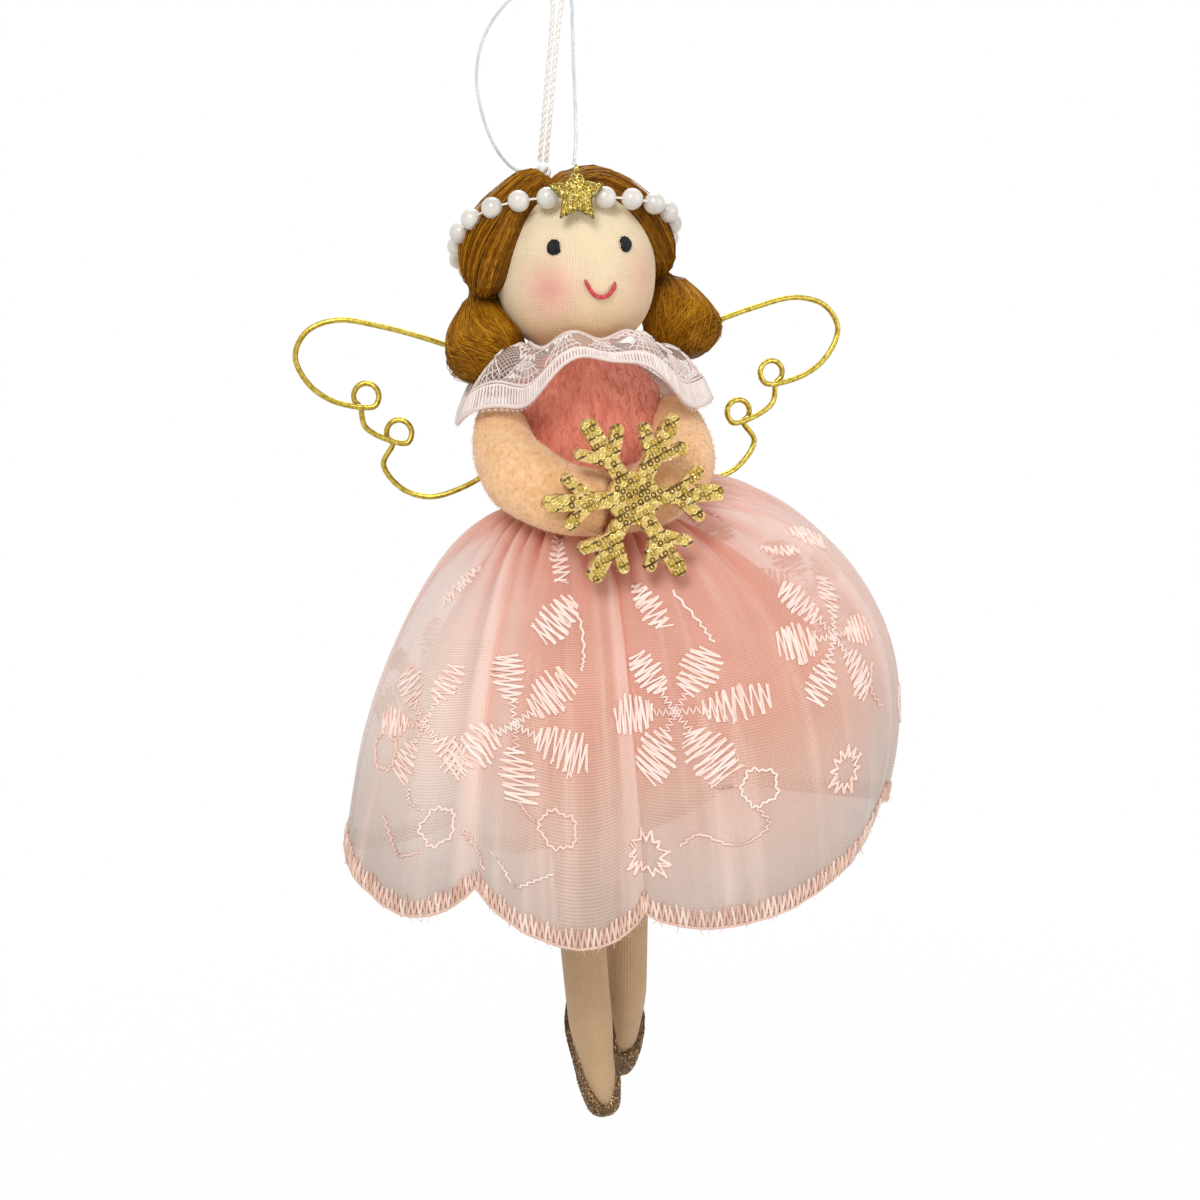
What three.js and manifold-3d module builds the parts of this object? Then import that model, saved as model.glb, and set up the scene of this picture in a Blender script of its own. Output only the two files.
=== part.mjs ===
// A hanging angel ornament: a stuffed cloth doll with a bead circlet, a lace collar, wire wings, a gathered
// two-layer skirt and a glitter snowflake in its hands.
// Millimetres, +Z up. The doll faces -Y and its right hand is at -X. The origin is the top of the hanging loop.
import * as THREE from "three";
import { mergeVertices } from "three/addons/utils/BufferGeometryUtils.js";
import Module from "manifold-3d";

const wasm = await Module();
wasm.setup();

// Clearances and walls
const FIT = 0.3; // gap between two pieces that touch
const KNIT = 0.7; // head cover and bodice cloth
const VEIL = 0.6; // skirt cloth
const LACE = 0.6;

// Head: a foam ball in a knit cover that is gathered into a neck
const HEAD_R = 15;
const NECK_R = 5.5;
const NECK_LENGTH = 8;
const TIE_THREAD_R = 0.5;
const EYE = { across: 1.3, up: 1.55, thick: 0.35, longitude: 28, latitude: 10.2 };
const MOUTH = { across: 5.6, sag: 2.4, thread: 0.3, latitude: -15.9, longitude: 3.7 };

// Hair: a parted cap and two tied bunches, all leaning to the doll's right
const HEAD_LEAN = 5;
const HAIR_SIDE = 5;
const HAIR_TOP = 2.6;
const HAIR_BACK = 2.8;
const PARTING = { depth: 1.6, width: 2.4, aside: 2.6 }; // aside to the doll's right
const FACE_DROP = 1.5; // centre of the face opening below the ball's centre
const FACE_TOP = 14.2; // half height of the face opening
const HAIR_HEM = { back: 5.5, below: 4.5, slope: 22 };
const BUNCH = { neck: 3, belly: 6.8, length: 16, spread: 1.5, fullestShare: 0.55 };
const BAND_R = 0.55;

// Circlet: beads on a thread, with a glitter star over its two ends
const PEARLS = 22;
const PEARL_R = 2;
const PEARL_BORE = 0.55;
const STRING_R = 0.25;
const CIRCLET = { front: 41.2, back: 13, proud: 2, turn: 12, lean: 2 }; // turned right, leaning left
const STAR = { tip: 5.2, notch: 2.7, thick: 1.6, proud: 1.4, facesUp: 25 };

// Hanger: a white cord loop on a knot, and a clear thread loop
const LOOP_RISE = 36;
const CORD_R = 0.5;
const CLEAR_R = 0.3;
const KNOT_R = 1.5;
const KNOT_BACK = 4;

// Torso, from the neck down
const BODICE_TOP = 2.2; // below the ball
const SHOULDER_DROP = 9;
const CHEST = { across: 12.2, deep: 9, swell: 0.6 };
const WAIST_DROP = 31;
const WAIST_R = 9;
const HIP_DROP = 43;
const HIP = { across: 9.6, deep: 8.6 };

// Lace collar
const COLLAR_WAVES = 9;
const COLLAR_WAVE = 1;
const COLLAR_BOW = 0.75; // below 1 the lace drops first and then spreads
const COLLAR_FRONT = { top: 10.6, stands: 2, hem: 18.2, fall: 2 }; // above and below the foot of the ball
const COLLAR_SIDE = { hem: 24.5, fall: 14 };
const COLLAR_BACK = { hem: 16, fall: 7 };

// Arms and the snowflake that the hands hold
const ARM = { shoulder: 3.6, elbow: 6.4, hand: 5.4, drop: 5.6, roundShare: 0.1 }; // drop below the shoulder
const ARM_REACH = 19;
const ELBOW_FORWARD = 10.5;
const ELBOW_DROP = 14.2; // below the shoulder
const HAND_DROP = 20;
const FLAKE = { tip: 16.4, stem: 1.5, branch: 1.1, fork: 7.8, twig: 5.8, spread: 44, hub: 4.8, thick: 2.2 };
const FLAKE_OFFSET = { right: 2.5, up: 1.6 };

// Wings: one wire each, in the plane behind the back
const WIRE_R = 0.55;
const WING_SWEEP = 0.16; // back for each millimetre past the patch
const WING_REACH = { right: 0.95, left: 1.08 }; // the two wires are bent by hand
const CURL_R = 2.4;
const CURL_STEP = 1.75; // how far a curl climbs, so that the wire clears itself
const PATCH = { across: 5.5, up: 6.4, thick: 1.2, drop: 4.8 };

// Skirt: how far each side's cloth stands out and hangs at the flare, the belly and the hem, below the waist
const SKIRT = {
  left: { flare: 44, top: -0.5, belly: 70, level: 26, hem: 57, drop: 57 },
  back: { flare: 22, top: 2, belly: 32, level: 32, hem: 33, drop: 68 },
  right: { flare: 28, top: 0, belly: 44.5, level: 30, hem: 50, drop: 58.5 },
  front: { flare: 22, top: 4, belly: 31, level: 32, hem: 33, drop: 71 },
};
const LINING = {
  left: { flare: 28, top: 5, belly: 55, level: 28, hem: 47, drop: 52 },
  back: { flare: 16, top: 6, belly: 25, level: 32, hem: 27, drop: 58 },
  right: { flare: 20, top: 5, belly: 36, level: 30, hem: 41, drop: 51 },
  front: { flare: 16, top: 7, belly: 25, level: 32, hem: 28, drop: 60 },
};
const PUFF = { turn: 22, width: 34, rise: 6.5 }; // where the overskirt puffs up behind the doll's left arm
const PLEATS = [-187, -138, -90, -15, 38, 85, 128]; // angles from +X where the skirt is drawn in
const PANEL_STEPS = 8;
const PANEL_SWELL = 4.2;
const SCALLOP = 6.5;
const LINING_FOLDS = 9;
const LINING_FOLD = 1.6;

// Legs and painted slippers
const LEG = { hip: 4.2, thigh: 4.5, calf: 4.2, ankle: 3.3, toe: 2.2, roundShare: 0.95 };
const LEG_LENGTH = 103.9;
const LEFT_SHORTER = 3;
const STRIDE = 5.5; // the right foot stands this far in front of the hips, the left behind
const SHOE = { wall: 0.6, heel: 17, instep: 5 };

// Places that follow from the sizes, all measured from the ball's centre
const partingTop = HEAD_R + HAIR_TOP - PARTING.depth;
const shoulderZ = -(HEAD_R + SHOULDER_DROP);
const waistZ = -(HEAD_R + WAIST_DROP);
const hipZ = -(HEAD_R + HIP_DROP);
const hairAcross = HEAD_R + HAIR_SIDE;
const lean = THREE.MathUtils.degToRad(HEAD_LEAN);
const ballBelowOrigin = LOOP_RISE + 2 * KNOT_R + 2 * FIT + partingTop;

const point = (x, y, z) => new THREE.Vector3(x, y, z);
const radians = THREE.MathUtils.degToRad;
const blend = THREE.MathUtils.lerp;

// A surface over points, turned so that its faces point out
function closedSurface(points, index) {
  let volume = 0;
  for (let i = 0; i < index.length; i += 3) {
    const [a, b, c] = index.slice(i, i + 3).map((k) => points[k]);
    volume += a.dot(b.clone().cross(c));
  }
  if (volume < 0) index.reverse();
  return new THREE.BufferGeometry().setFromPoints(points).setIndex(index);
}

// Triangles between neighbouring rings of points
function bridge(index, from, to, sides) {
  for (let j = 0; j < sides; j++) {
    const k = (j + 1) % sides;
    index.push(from + j, from + k, to + j, from + k, to + k, to + j);
  }
}

// A solid through rings of points, with its two ends closed to their middles
function loft(rings) {
  const sides = rings[0].length;
  const points = rings.flat();
  const index = [];
  for (let i = 0; i + 1 < rings.length; i++) bridge(index, i * sides, (i + 1) * sides, sides);
  for (const first of [0, (rings.length - 1) * sides]) {
    const middle = point(0, 0, 0);
    for (let j = 0; j < sides; j++) middle.addScaledVector(points[first + j], 1 / sides);
    points.push(middle);
    for (let j = 0; j < sides; j++) {
      const edge = [first + j, first + ((j + 1) % sides)];
      if (first === 0) edge.reverse();
      index.push(...edge, points.length - 1);
    }
  }
  return closedSurface(points, index);
}

// A solid ring through rings of points, whose last ring meets the first
function hoopOf(rings) {
  const sides = rings[0].length;
  const index = [];
  rings.forEach((ring, i) => bridge(index, i * sides, ((i + 1) % rings.length) * sides, sides));
  return closedSurface(rings.flat(), index);
}

// Rings of points across a curve, each with the radius that radiusAt gives there
function ringsAlong(curve, radiusAt, steps, sides, closed = false) {
  const frames = curve.computeFrenetFrames(steps, closed);
  const rings = [];
  for (let i = 0; i < (closed ? steps : steps + 1); i++) {
    const centre = curve.getPointAt(i / steps);
    const radius = radiusAt(i / steps);
    const ring = [];
    for (let j = 0; j < sides; j++) {
      const turn = (2 * Math.PI * j) / sides;
      const spot = centre.clone().addScaledVector(frames.normals[i], radius * Math.cos(turn));
      ring.push(spot.addScaledVector(frames.binormals[i], radius * Math.sin(turn)));
    }
    rings.push(ring);
  }
  return rings;
}

const sweep = (curve, radiusAt, steps, sides) => loft(ringsAlong(curve, radiusAt, steps, sides));
const hoop = (curve, radius, steps, sides) => hoopOf(ringsAlong(curve, () => radius, steps, sides, true));

// A wire, thread or cord of even thickness along an open curve
function strand(curve, radius, steps, sides) {
  const corners = [];
  for (let j = 0; j < sides; j++) {
    const turn = (2 * Math.PI * j) / sides;
    corners.push(new THREE.Vector2(radius * Math.cos(turn), radius * Math.sin(turn)));
  }
  const section = new THREE.Shape(corners);
  return new THREE.ExtrudeGeometry(section, { steps, bevelEnabled: false, extrudePath: curve });
}

const circle = (radius, z) => {
  const spots = [];
  for (let i = 0; i < 16; i++) {
    const turn = (i * Math.PI) / 8;
    spots.push(point(radius * Math.cos(turn), radius * Math.sin(turn), z));
  }
  return new THREE.CatmullRomCurve3(spots, true);
};

// Cloth of even thickness on a surface that runs round the doll: spot(turn, down), with down from 0 to 1
function cloth(spot, turns, rows, thickness) {
  const faces = { out: [], in: [] };
  const nudge = 1e-3;
  for (let i = 0; i <= rows; i++) {
    const [outer, inner] = [[], []];
    for (const turn of turns) {
      const down = Math.min(Math.max(i / rows, nudge), 1 - nudge);
      const along = spot(turn, down + nudge).sub(spot(turn, down - nudge));
      const across = spot(turn + nudge, down).sub(spot(turn - nudge, down));
      const normal = along.cross(across).normalize();
      outer.push(spot(turn, i / rows).addScaledVector(normal, thickness / 2));
      inner.push(spot(turn, i / rows).addScaledVector(normal, -thickness / 2));
    }
    faces.out.push(outer);
    faces.in.unshift(inner);
  }
  return hoopOf([...faces.out, ...faces.in]);
}

const evenTurns = (count) => Array.from({ length: count }, (_, i) => (2 * Math.PI * i) / count);

// Between four values set at the doll's left (+X), back, right (-X) and front
function round(turn, left, back, right, front) {
  const side = Math.cos(turn);
  const depth = Math.sin(turn);
  return side * side * (side > 0 ? left : right) + depth * depth * (depth > 0 ? back : front);
}

// Joining and cutting
function solid(geometry) {
  const bare = geometry.index ? geometry.toNonIndexed() : geometry.clone();
  bare.deleteAttribute("normal");
  bare.deleteAttribute("uv");
  const merged = mergeVertices(bare, 1e-4);
  const vertProperties = merged.attributes.position.array;
  return new wasm.Manifold(
    new wasm.Mesh({ numProp: 3, vertProperties, triVerts: new Uint32Array(merged.index.array) }),
  );
}

function geometryOf(made) {
  const mesh = made.getMesh();
  const spots = new THREE.BufferAttribute(new Float32Array(mesh.vertProperties), 3);
  const index = new THREE.BufferAttribute(new Uint32Array(mesh.triVerts), 1);
  return new THREE.BufferGeometry().setAttribute("position", spots).setIndex(index);
}

function cut(body, ...tools) {
  return geometryOf(tools.reduce((rest, tool) => rest.subtract(solid(tool)), solid(body)));
}

function join(...bodies) {
  return geometryOf(bodies.map(solid).reduce((sum, body) => sum.add(body)));
}

function reshaped(geometry, move) {
  const spots = geometry.attributes.position;
  const spot = point(0, 0, 0);
  for (let i = 0; i < spots.count; i++) {
    move(spot.fromBufferAttribute(spots, i));
    spots.setXYZ(i, spot.x, spot.y, spot.z);
  }
  return geometry;
}

// The scene: the doll hangs below the origin, and its hair leans
const angel = new THREE.Group();
const doll = new THREE.Group();
doll.position.z = -ballBelowOrigin;
angel.add(doll);
const crown = new THREE.Group();
crown.rotation.y = -lean;
const brow = new THREE.Group();
brow.rotation.set(0, radians(CIRCLET.lean), -radians(CIRCLET.turn));
doll.add(crown, brow);

const LOOKS = {
  skin: { color: 0xf3ddb8, roughness: 0.9 },
  foam: { color: 0xf6f4ee, roughness: 0.95 },
  hair: { color: 0x9a651f, roughness: 0.6 },
  pearl: { color: 0xf3efec, roughness: 0.25 },
  gold: { color: 0xc9a23a, roughness: 0.45, metalness: 0.8 },
  wire: { color: 0xb39b3c, roughness: 0.3, metalness: 1 },
  black: { color: 0x1b1c20, roughness: 0.6 },
  red: { color: 0xc23a45, roughness: 0.7 },
  white: { color: 0xf5f3f0, roughness: 0.8 },
  clear: { color: 0xe4ecee, roughness: 0.2 },
  lace: { color: 0xf4ece8, roughness: 0.9 },
  bodice: { color: 0xdd7f70, roughness: 0.95 },
  felt: { color: 0xf7c48f, roughness: 0.95 },
  veil: { color: 0xf0b5ab, roughness: 0.7 },
  lining: { color: 0xee9c8f, roughness: 0.9 },
  slipper: { color: 0x8a6a38, roughness: 0.5, metalness: 0.4 },
};

function add(name, look, geometry, group = doll) {
  const material = new THREE.MeshStandardMaterial({ ...LOOKS[look], side: THREE.DoubleSide });
  const mesh = new THREE.Mesh(geometry, material);
  mesh.name = name;
  group.add(mesh);
  return mesh;
}

// Turns a mesh so that its own Z axis points along a direction
function aim(mesh, direction) {
  mesh.quaternion.setFromUnitVectors(point(0, 0, 1), direction.clone().normalize());
}

// A flat plate of a drawn outline
function plate(outline, depth, curveSegments) {
  return new THREE.ExtrudeGeometry(outline, { depth, bevelEnabled: false, curveSegments });
}

// A turned form whose profile of [radius, height] pairs runs round the Z axis
function turned(profile, segments) {
  const outline = profile.map(([radius, height]) => new THREE.Vector2(radius, height));
  return new THREE.LatheGeometry(outline, segments).rotateX(Math.PI / 2);
}

// Head
function coverProfile(radius, neck, bottom, arcs) {
  const meets = Math.asin(neck / radius);
  const profile = [];
  for (let i = 0; i <= arcs; i++) {
    const turn = ((Math.PI - meets) * i) / arcs;
    profile.push([i ? radius * Math.sin(turn) : 0, radius * Math.cos(turn)]);
  }
  return [...profile, [neck, bottom]];
}

function addHead() {
  const neckEnd = -(HEAD_R + NECK_LENGTH);
  const outside = coverProfile(HEAD_R, NECK_R, neckEnd, 11);
  const inside = coverProfile(HEAD_R - KNIT, NECK_R - KNIT, neckEnd, 11);
  add("head_cover", "skin", turned([...inside, ...outside.reverse()], 20));
  add("head_core", "foam", new THREE.SphereGeometry(HEAD_R - KNIT - FIT, 14, 9).rotateX(Math.PI / 2));
  const bindR = NECK_R + FIT + TIE_THREAD_R;
  add("neck_tie", "white", hoop(circle(bindR, -(HEAD_R + BODICE_TOP / 2 - FIT)), TIE_THREAD_R, 18, 6));
}

// A direction on the ball, in degrees left of the doll's front and above its middle
function onBall(radius, longitude, latitude) {
  const [turn, rise] = [radians(longitude), radians(latitude)];
  const flat = radius * Math.cos(rise);
  return point(flat * Math.sin(turn), -flat * Math.cos(turn), radius * Math.sin(rise));
}

function addFace() {
  for (const [name, side] of [["eye_right", -1], ["eye_left", 1]]) {
    const oval = new THREE.SphereGeometry(1, 10, 6).scale(EYE.across, EYE.up, EYE.thick);
    const eye = add(name, "black", oval);
    eye.position.copy(onBall(HEAD_R + FIT + EYE.thick, side * EYE.longitude, EYE.latitude));
    aim(eye, eye.position);
  }
  const smile = [];
  for (let i = 0; i <= 6; i++) {
    const across = i / 3 - 1;
    const longitude = MOUTH.longitude + THREE.MathUtils.radToDeg((across * MOUTH.across) / 2 / HEAD_R);
    const drop = THREE.MathUtils.radToDeg((MOUTH.sag * (1 - across * across)) / HEAD_R);
    smile.push(onBall(HEAD_R + FIT + MOUTH.thread, longitude, MOUTH.latitude - drop));
  }
  add("mouth_stitch", "red", strand(new THREE.CatmullRomCurve3(smile), MOUTH.thread, 10, 6));
}

// Circlet: an oval loop that lies on the brow in front and on the nape behind
function circletCurve() {
  const frontR = HEAD_R + FIT + PEARL_R;
  const backR = HEAD_R + HAIR_BACK;
  const [rise, fall] = [radians(CIRCLET.front), radians(CIRCLET.back)];
  const front = point(0, -frontR * Math.cos(rise), frontR * Math.sin(rise));
  const back = point(0, backR * Math.cos(fall), -backR * Math.sin(fall));
  const middle = front.clone().lerp(back, 0.5);
  const spots = evenTurns(24).map((turn) => {
    const spot = middle.clone().lerp(front, Math.cos(turn));
    return spot.setX((hairAcross + CIRCLET.proud) * Math.sin(turn));
  });
  return new THREE.CatmullRomCurve3(spots, true);
}

function addCirclet() {
  const loop = circletCurve();
  const string = [];
  for (let i = 1; i < 60; i++) string.push(loop.getPointAt(i / 60));
  add("circlet_string", "white", strand(new THREE.CatmullRomCurve3(string), STRING_R, 48, 5), brow);
  const shoulder = Math.asin(PEARL_BORE / PEARL_R);
  const profile = [];
  for (let i = 0; i <= 5; i++) {
    const turn = blend(shoulder, Math.PI - shoulder, i / 5);
    profile.push([PEARL_R * Math.sin(turn), PEARL_R * Math.cos(turn)]);
  }
  profile.push(profile[0]);
  for (let i = 1; i <= PEARLS; i++) {
    const along = i / (PEARLS + 1);
    const pearl = add(`pearl_${String(i).padStart(2, "0")}`, "pearl", turned(profile.toReversed(), 7), brow);
    pearl.position.copy(loop.getPointAt(along));
    aim(pearl, loop.getTangentAt(along));
  }
  addStar(loop.getPointAt(0));
}

function addStar(seat) {
  const outline = new THREE.Shape();
  for (let i = 0; i < 10; i++) {
    const turn = Math.PI / 2 + (i * Math.PI) / 5;
    const radius = i % 2 ? STAR.notch : STAR.tip;
    outline[i ? "lineTo" : "moveTo"](radius * Math.cos(turn), radius * Math.sin(turn));
  }
  outline.closePath();
  const star = add("forehead_star", "gold", plate(outline, STAR.thick, 1), brow);
  star.rotation.x = Math.PI / 2 - radians(STAR.facesUp);
  const faces = point(0, 0, 1).applyEuler(star.rotation);
  star.position.copy(seat).addScaledVector(faces, STAR.proud);
}

// Hair
const tieSpot = (side) => point(side * (HEAD_R + HAIR_SIDE * 0.62), HAIR_HEM.back, -HAIR_HEM.below);
const hangs = point(0, -Math.sin(radians(HAIR_HEM.slope)), -Math.cos(radians(HAIR_HEM.slope)));

function knotSpot() {
  const seat = point(-PARTING.aside, KNOT_BACK, partingTop);
  return seat.setLength(partingTop + FIT + KNOT_R);
}

function browInCrown() {
  angel.updateMatrixWorld(true);
  return crown.matrixWorld.clone().invert().multiply(brow.matrixWorld);
}

function addHair() {
  const cap = reshaped(new THREE.SphereGeometry(1, 18, 20).rotateZ(Math.PI / 2), (spot) => {
    spot.multiply(point(hairAcross, HEAD_R + HAIR_BACK, HEAD_R + HAIR_TOP));
    const dip = PARTING.depth * Math.exp(-(((spot.x + PARTING.aside) / PARTING.width) ** 2));
    spot.setLength(spot.length() - dip);
  });
  const room = HEAD_R + FIT;
  const ball = new THREE.SphereGeometry(room / Math.cos(Math.PI / 20), 20, 14);
  const face = new THREE.CylinderGeometry(1, 1, 4 * HEAD_R, 22);
  face.scale(room, 1, FACE_TOP).translate(0, -2 * HEAD_R, -FACE_DROP);
  const under = new THREE.BoxGeometry(6 * HEAD_R, 6 * HEAD_R, 4 * HEAD_R).translate(0, 0, -2 * HEAD_R);
  under.rotateX(-radians(HAIR_HEM.slope)).translate(0, HAIR_HEM.back, -HAIR_HEM.below);
  const groove = hoop(circletCurve(), PEARL_R + FIT, 32, 6).applyMatrix4(browInCrown());
  const { x, y, z } = knotSpot();
  const pocket = new THREE.SphereGeometry(KNOT_R + FIT, 8, 6).translate(x, y, z);
  add("hair_cap", "hair", cut(cap, ball, face, under, groove, pocket), crown);
  for (const [side, hand] of [["right", -1], ["left", 1]]) addBunch(side, hand);
}

function addBunch(side, hand) {
  const tie = tieSpot(hand);
  const out = point(hand * BUNCH.spread, 0, 0);
  const start = tie.clone().addScaledVector(hangs, FIT);
  const end = tie.clone().addScaledVector(hangs, BUNCH.length).add(out);
  const swell = (t) => {
    const fromFullest = (t - BUNCH.fullestShare) / (1.02 - BUNCH.fullestShare);
    const oval = BUNCH.belly * Math.sqrt(Math.max(1 - fromFullest ** 2, 0));
    return t < BUNCH.fullestShare ? Math.max(BUNCH.neck, oval) : oval;
  };
  add(`hair_bunch_${side}`, "hair", sweep(new THREE.LineCurve3(start, end), swell, 11, 12), crown);
  const ringR = BUNCH.neck + FIT + BAND_R;
  const ring = add(`hair_tie_${side}`, "clear", new THREE.TorusGeometry(ringR, BAND_R, 5, 14), crown);
  ring.position.copy(tie).addScaledVector(hangs, 2 * FIT + BAND_R);
  aim(ring, hangs);
}

// Hanger: each route starts and ends on the crown, and its top lies on the origin's hook
function addHanger() {
  const knot = knotSpot().applyAxisAngle(point(0, 1, 0), -lean);
  const blob = new THREE.SphereGeometry(KNOT_R, 12, 8);
  add("hanging_knot", "white", blob).position.copy(knot);
  const top = ballBelowOrigin - CORD_R;
  const foot = knot.z + KNOT_R + FIT;
  const legs = [[0.7, 0], [0.72, 0.2], [0.75, 0.45], [0.85, 0.68], [1.5, 0.84], [2.3, 0.93], [1.7, 0.985]];
  const leg = (hand) => legs.map(([apart, up]) =>
    point(blend(knot.x, 0, up) + hand * apart, blend(knot.y, 0, up), blend(foot, top, up)),
  );
  const loop = new THREE.CatmullRomCurve3([...leg(-1), point(0, 0, top), ...leg(1).reverse()]);
  add("hanging_cord", "white", strand(loop, CORD_R, 38, 8));
  const clear = [
    [-6.2, 4.8, 16.8], [-9.2, 5.3, 17.3], [-11.6, 4.8, 19.3], [-14.1, 3.8, 23.2],
    [-15.9, 2.8, 28.6], [-16.6, 2, 34], [-15.6, 1, 40], [-12.4, -0.4, 45.6],
    [-7.6, -1.8, 49.6], [-2.6, -2.4, 51], [0.6, -2.4, 48.2], [0.9, -2.4, 42.6],
    [0.7, -2.8, 35.6], [0.5, -3.6, 28.2], [0, -4.8, 21.6], [-0.8, -5.8, 17.6],
  ];
  const thread = new THREE.CatmullRomCurve3(clear.map(([x, y, z]) => point(x, y, z)));
  add("clear_thread", "clear", strand(thread, CLEAR_R, 40, 8));
}

// Torso: half widths and half depths at heights from the neck to the hips, with a smooth line between them
function torsoLine(inset) {
  const neck = NECK_R + 2 * FIT + KNIT;
  const stations = [
    [-(HEAD_R + BODICE_TOP), neck, neck],
    [shoulderZ, CHEST.across, CHEST.deep],
    [blend(shoulderZ, waistZ, 0.4), CHEST.across, CHEST.deep + CHEST.swell],
    [waistZ, WAIST_R, WAIST_R],
    [hipZ, HIP.across, HIP.deep],
  ];
  const spots = stations.map(([z, across, deep]) => point(across - inset, deep - inset, z));
  return new THREE.CatmullRomCurve3(spots);
}

function torsoRings(inset, from, to, rows) {
  const line = torsoLine(inset);
  const rings = [];
  for (let i = 0; i <= rows; i++) {
    const { x: across, y: deep, z } = line.getPoint(blend(from, to, i / rows));
    rings.push(evenTurns(20).map((turn) => point(across * Math.cos(turn), deep * Math.sin(turn), z)));
  }
  return rings;
}

function addTorso() {
  add("bodice", "bodice", hoopOf([...torsoRings(0, 0, 1, 10), ...torsoRings(KNIT, 1, 0, 10)]));
  const below = -(HEAD_R + NECK_LENGTH) - FIT;
  const rings = torsoRings(KNIT + FIT, 0, 1, 24).filter((ring) => ring[0].z < below);
  add("torso_filling", "foam", loft(rings.filter((ring, i) => i % 2 === 0 || i === rings.length - 1)));
}

function collarSpot(turn, down) {
  const front = Math.max(0, -Math.sin(turn)) ** 3;
  const neck = NECK_R + 2 * FIT + KNIT + FIT + LACE / 2;
  const top = blend(neck, COLLAR_FRONT.top, front);
  const start = blend(BODICE_TOP, -COLLAR_FRONT.stands, front);
  const hem = round(turn, COLLAR_SIDE.hem, COLLAR_BACK.hem, COLLAR_SIDE.hem, COLLAR_FRONT.hem);
  const fall = round(turn, COLLAR_SIDE.fall, COLLAR_BACK.fall, COLLAR_SIDE.fall, COLLAR_FRONT.fall);
  const wave = COLLAR_WAVE * down * Math.sin(COLLAR_WAVES * turn);
  const radius = blend(top, hem, down) + wave / 2;
  const drop = blend(start, fall, down ** COLLAR_BOW);
  return point(radius * Math.cos(turn), radius * Math.sin(turn), wave - HEAD_R - drop);
}

function addCollar() {
  const ruffle = cloth(collarSpot, evenTurns(COLLAR_WAVES * 6), 3, LACE);
  const wires = [-1, 1].map((hand) => strand(wingCurve(hand), WIRE_R + FIT, 60, 6));
  add("lace_collar", "lace", cut(ruffle, ...wires));
}

// Arms, with the shoulders' turning axis along X
const armOut = CHEST.across + FIT + ARM.shoulder;
const elbowZ = shoulderZ - ELBOW_DROP;
const handZ = shoulderZ - HAND_DROP;

function addArms() {
  for (const [side, hand] of [["right", -1], ["left", 1]]) {
    const spots = [
      point(hand * armOut, 0, shoulderZ - ARM.drop),
      point(hand * (armOut + 0.6), -ELBOW_FORWARD * 0.4, blend(shoulderZ, elbowZ, 0.68)),
      point(hand * (armOut - 1), -ELBOW_FORWARD, elbowZ),
      point(hand * armOut * 0.56, -blend(ELBOW_FORWARD, ARM_REACH, 0.8), blend(handZ, elbowZ, 0.3)),
      point(hand * FIT, -ARM_REACH, handZ),
    ];
    const girth = (t) => {
      const swell = t < 0.5 ? blend(ARM.shoulder, ARM.elbow, t * 2) : blend(ARM.elbow, ARM.hand, t * 2 - 1);
      const toEnd = Math.min(1, Math.min(t, 1 - t) / ARM.roundShare);
      return swell * Math.min(1, 0.12 + Math.sqrt(toEnd * (2 - toEnd)));
    };
    add(`arm_${side}`, "felt", sweep(new THREE.CatmullRomCurve3(spots), girth, 16, 12));
  }
}

// A flat bar with round ends, from the middle of the flake outwards
function bar(from, length, half, turn) {
  const outline = new THREE.Shape();
  outline.absarc(0, 0, half, Math.PI / 2, (3 * Math.PI) / 2);
  outline.absarc(length, 0, half, -Math.PI / 2, Math.PI / 2);
  outline.closePath();
  return plate(outline, FLAKE.thick, 3).rotateZ(turn).translate(from.x, from.y, 0);
}

function addSnowflake() {
  const outline = new THREE.Shape();
  outline.absarc(0, 0, FLAKE.hub, 0, 2 * Math.PI);
  const bars = [plate(outline, FLAKE.thick, 12)];
  for (const turn of evenTurns(6)) {
    bars.push(bar(point(0, 0, 0), FLAKE.tip - FLAKE.branch, FLAKE.stem, turn));
    const fork = point(FLAKE.fork * Math.cos(turn), FLAKE.fork * Math.sin(turn), 0);
    for (const side of [-1, 1]) {
      bars.push(bar(fork, FLAKE.twig, FLAKE.branch, turn + side * radians(FLAKE.spread)));
    }
  }
  const flake = add("snowflake", "gold", join(...bars));
  flake.rotation.x = Math.PI / 2;
  const inFront = -(ARM_REACH + ARM.hand + FIT);
  flake.position.set(FLAKE_OFFSET.right, inFront, handZ + FLAKE_OFFSET.up);
}

// Wings: a wire from the patch out round an upper lobe, through two curls and back round a lower lobe
const wingBack = Math.max(CHEST.deep + CHEST.swell, WAIST_R) + FIT + WIRE_R;

// A point of the wire: how far out from the spine, above the shoulders and up in steps of the curls
function wingSpot(out, rise, steps = 0) {
  const swept = WING_SWEEP * Math.max(0, out - PATCH.across - WIRE_R);
  return point(out, wingBack + swept + CURL_STEP * steps, shoulderZ + rise);
}

// Most of a turn round a middle, from below it, while the wire climbs one step
function curl(out, rise, step) {
  const spots = [];
  for (let i = 0; i <= 8; i++) {
    const turn = -radians(blend(120, 420, i / 8));
    spots.push(wingSpot(out + CURL_R * Math.cos(turn), rise + CURL_R * Math.sin(turn), step + i / 8));
  }
  return spots;
}

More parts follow.
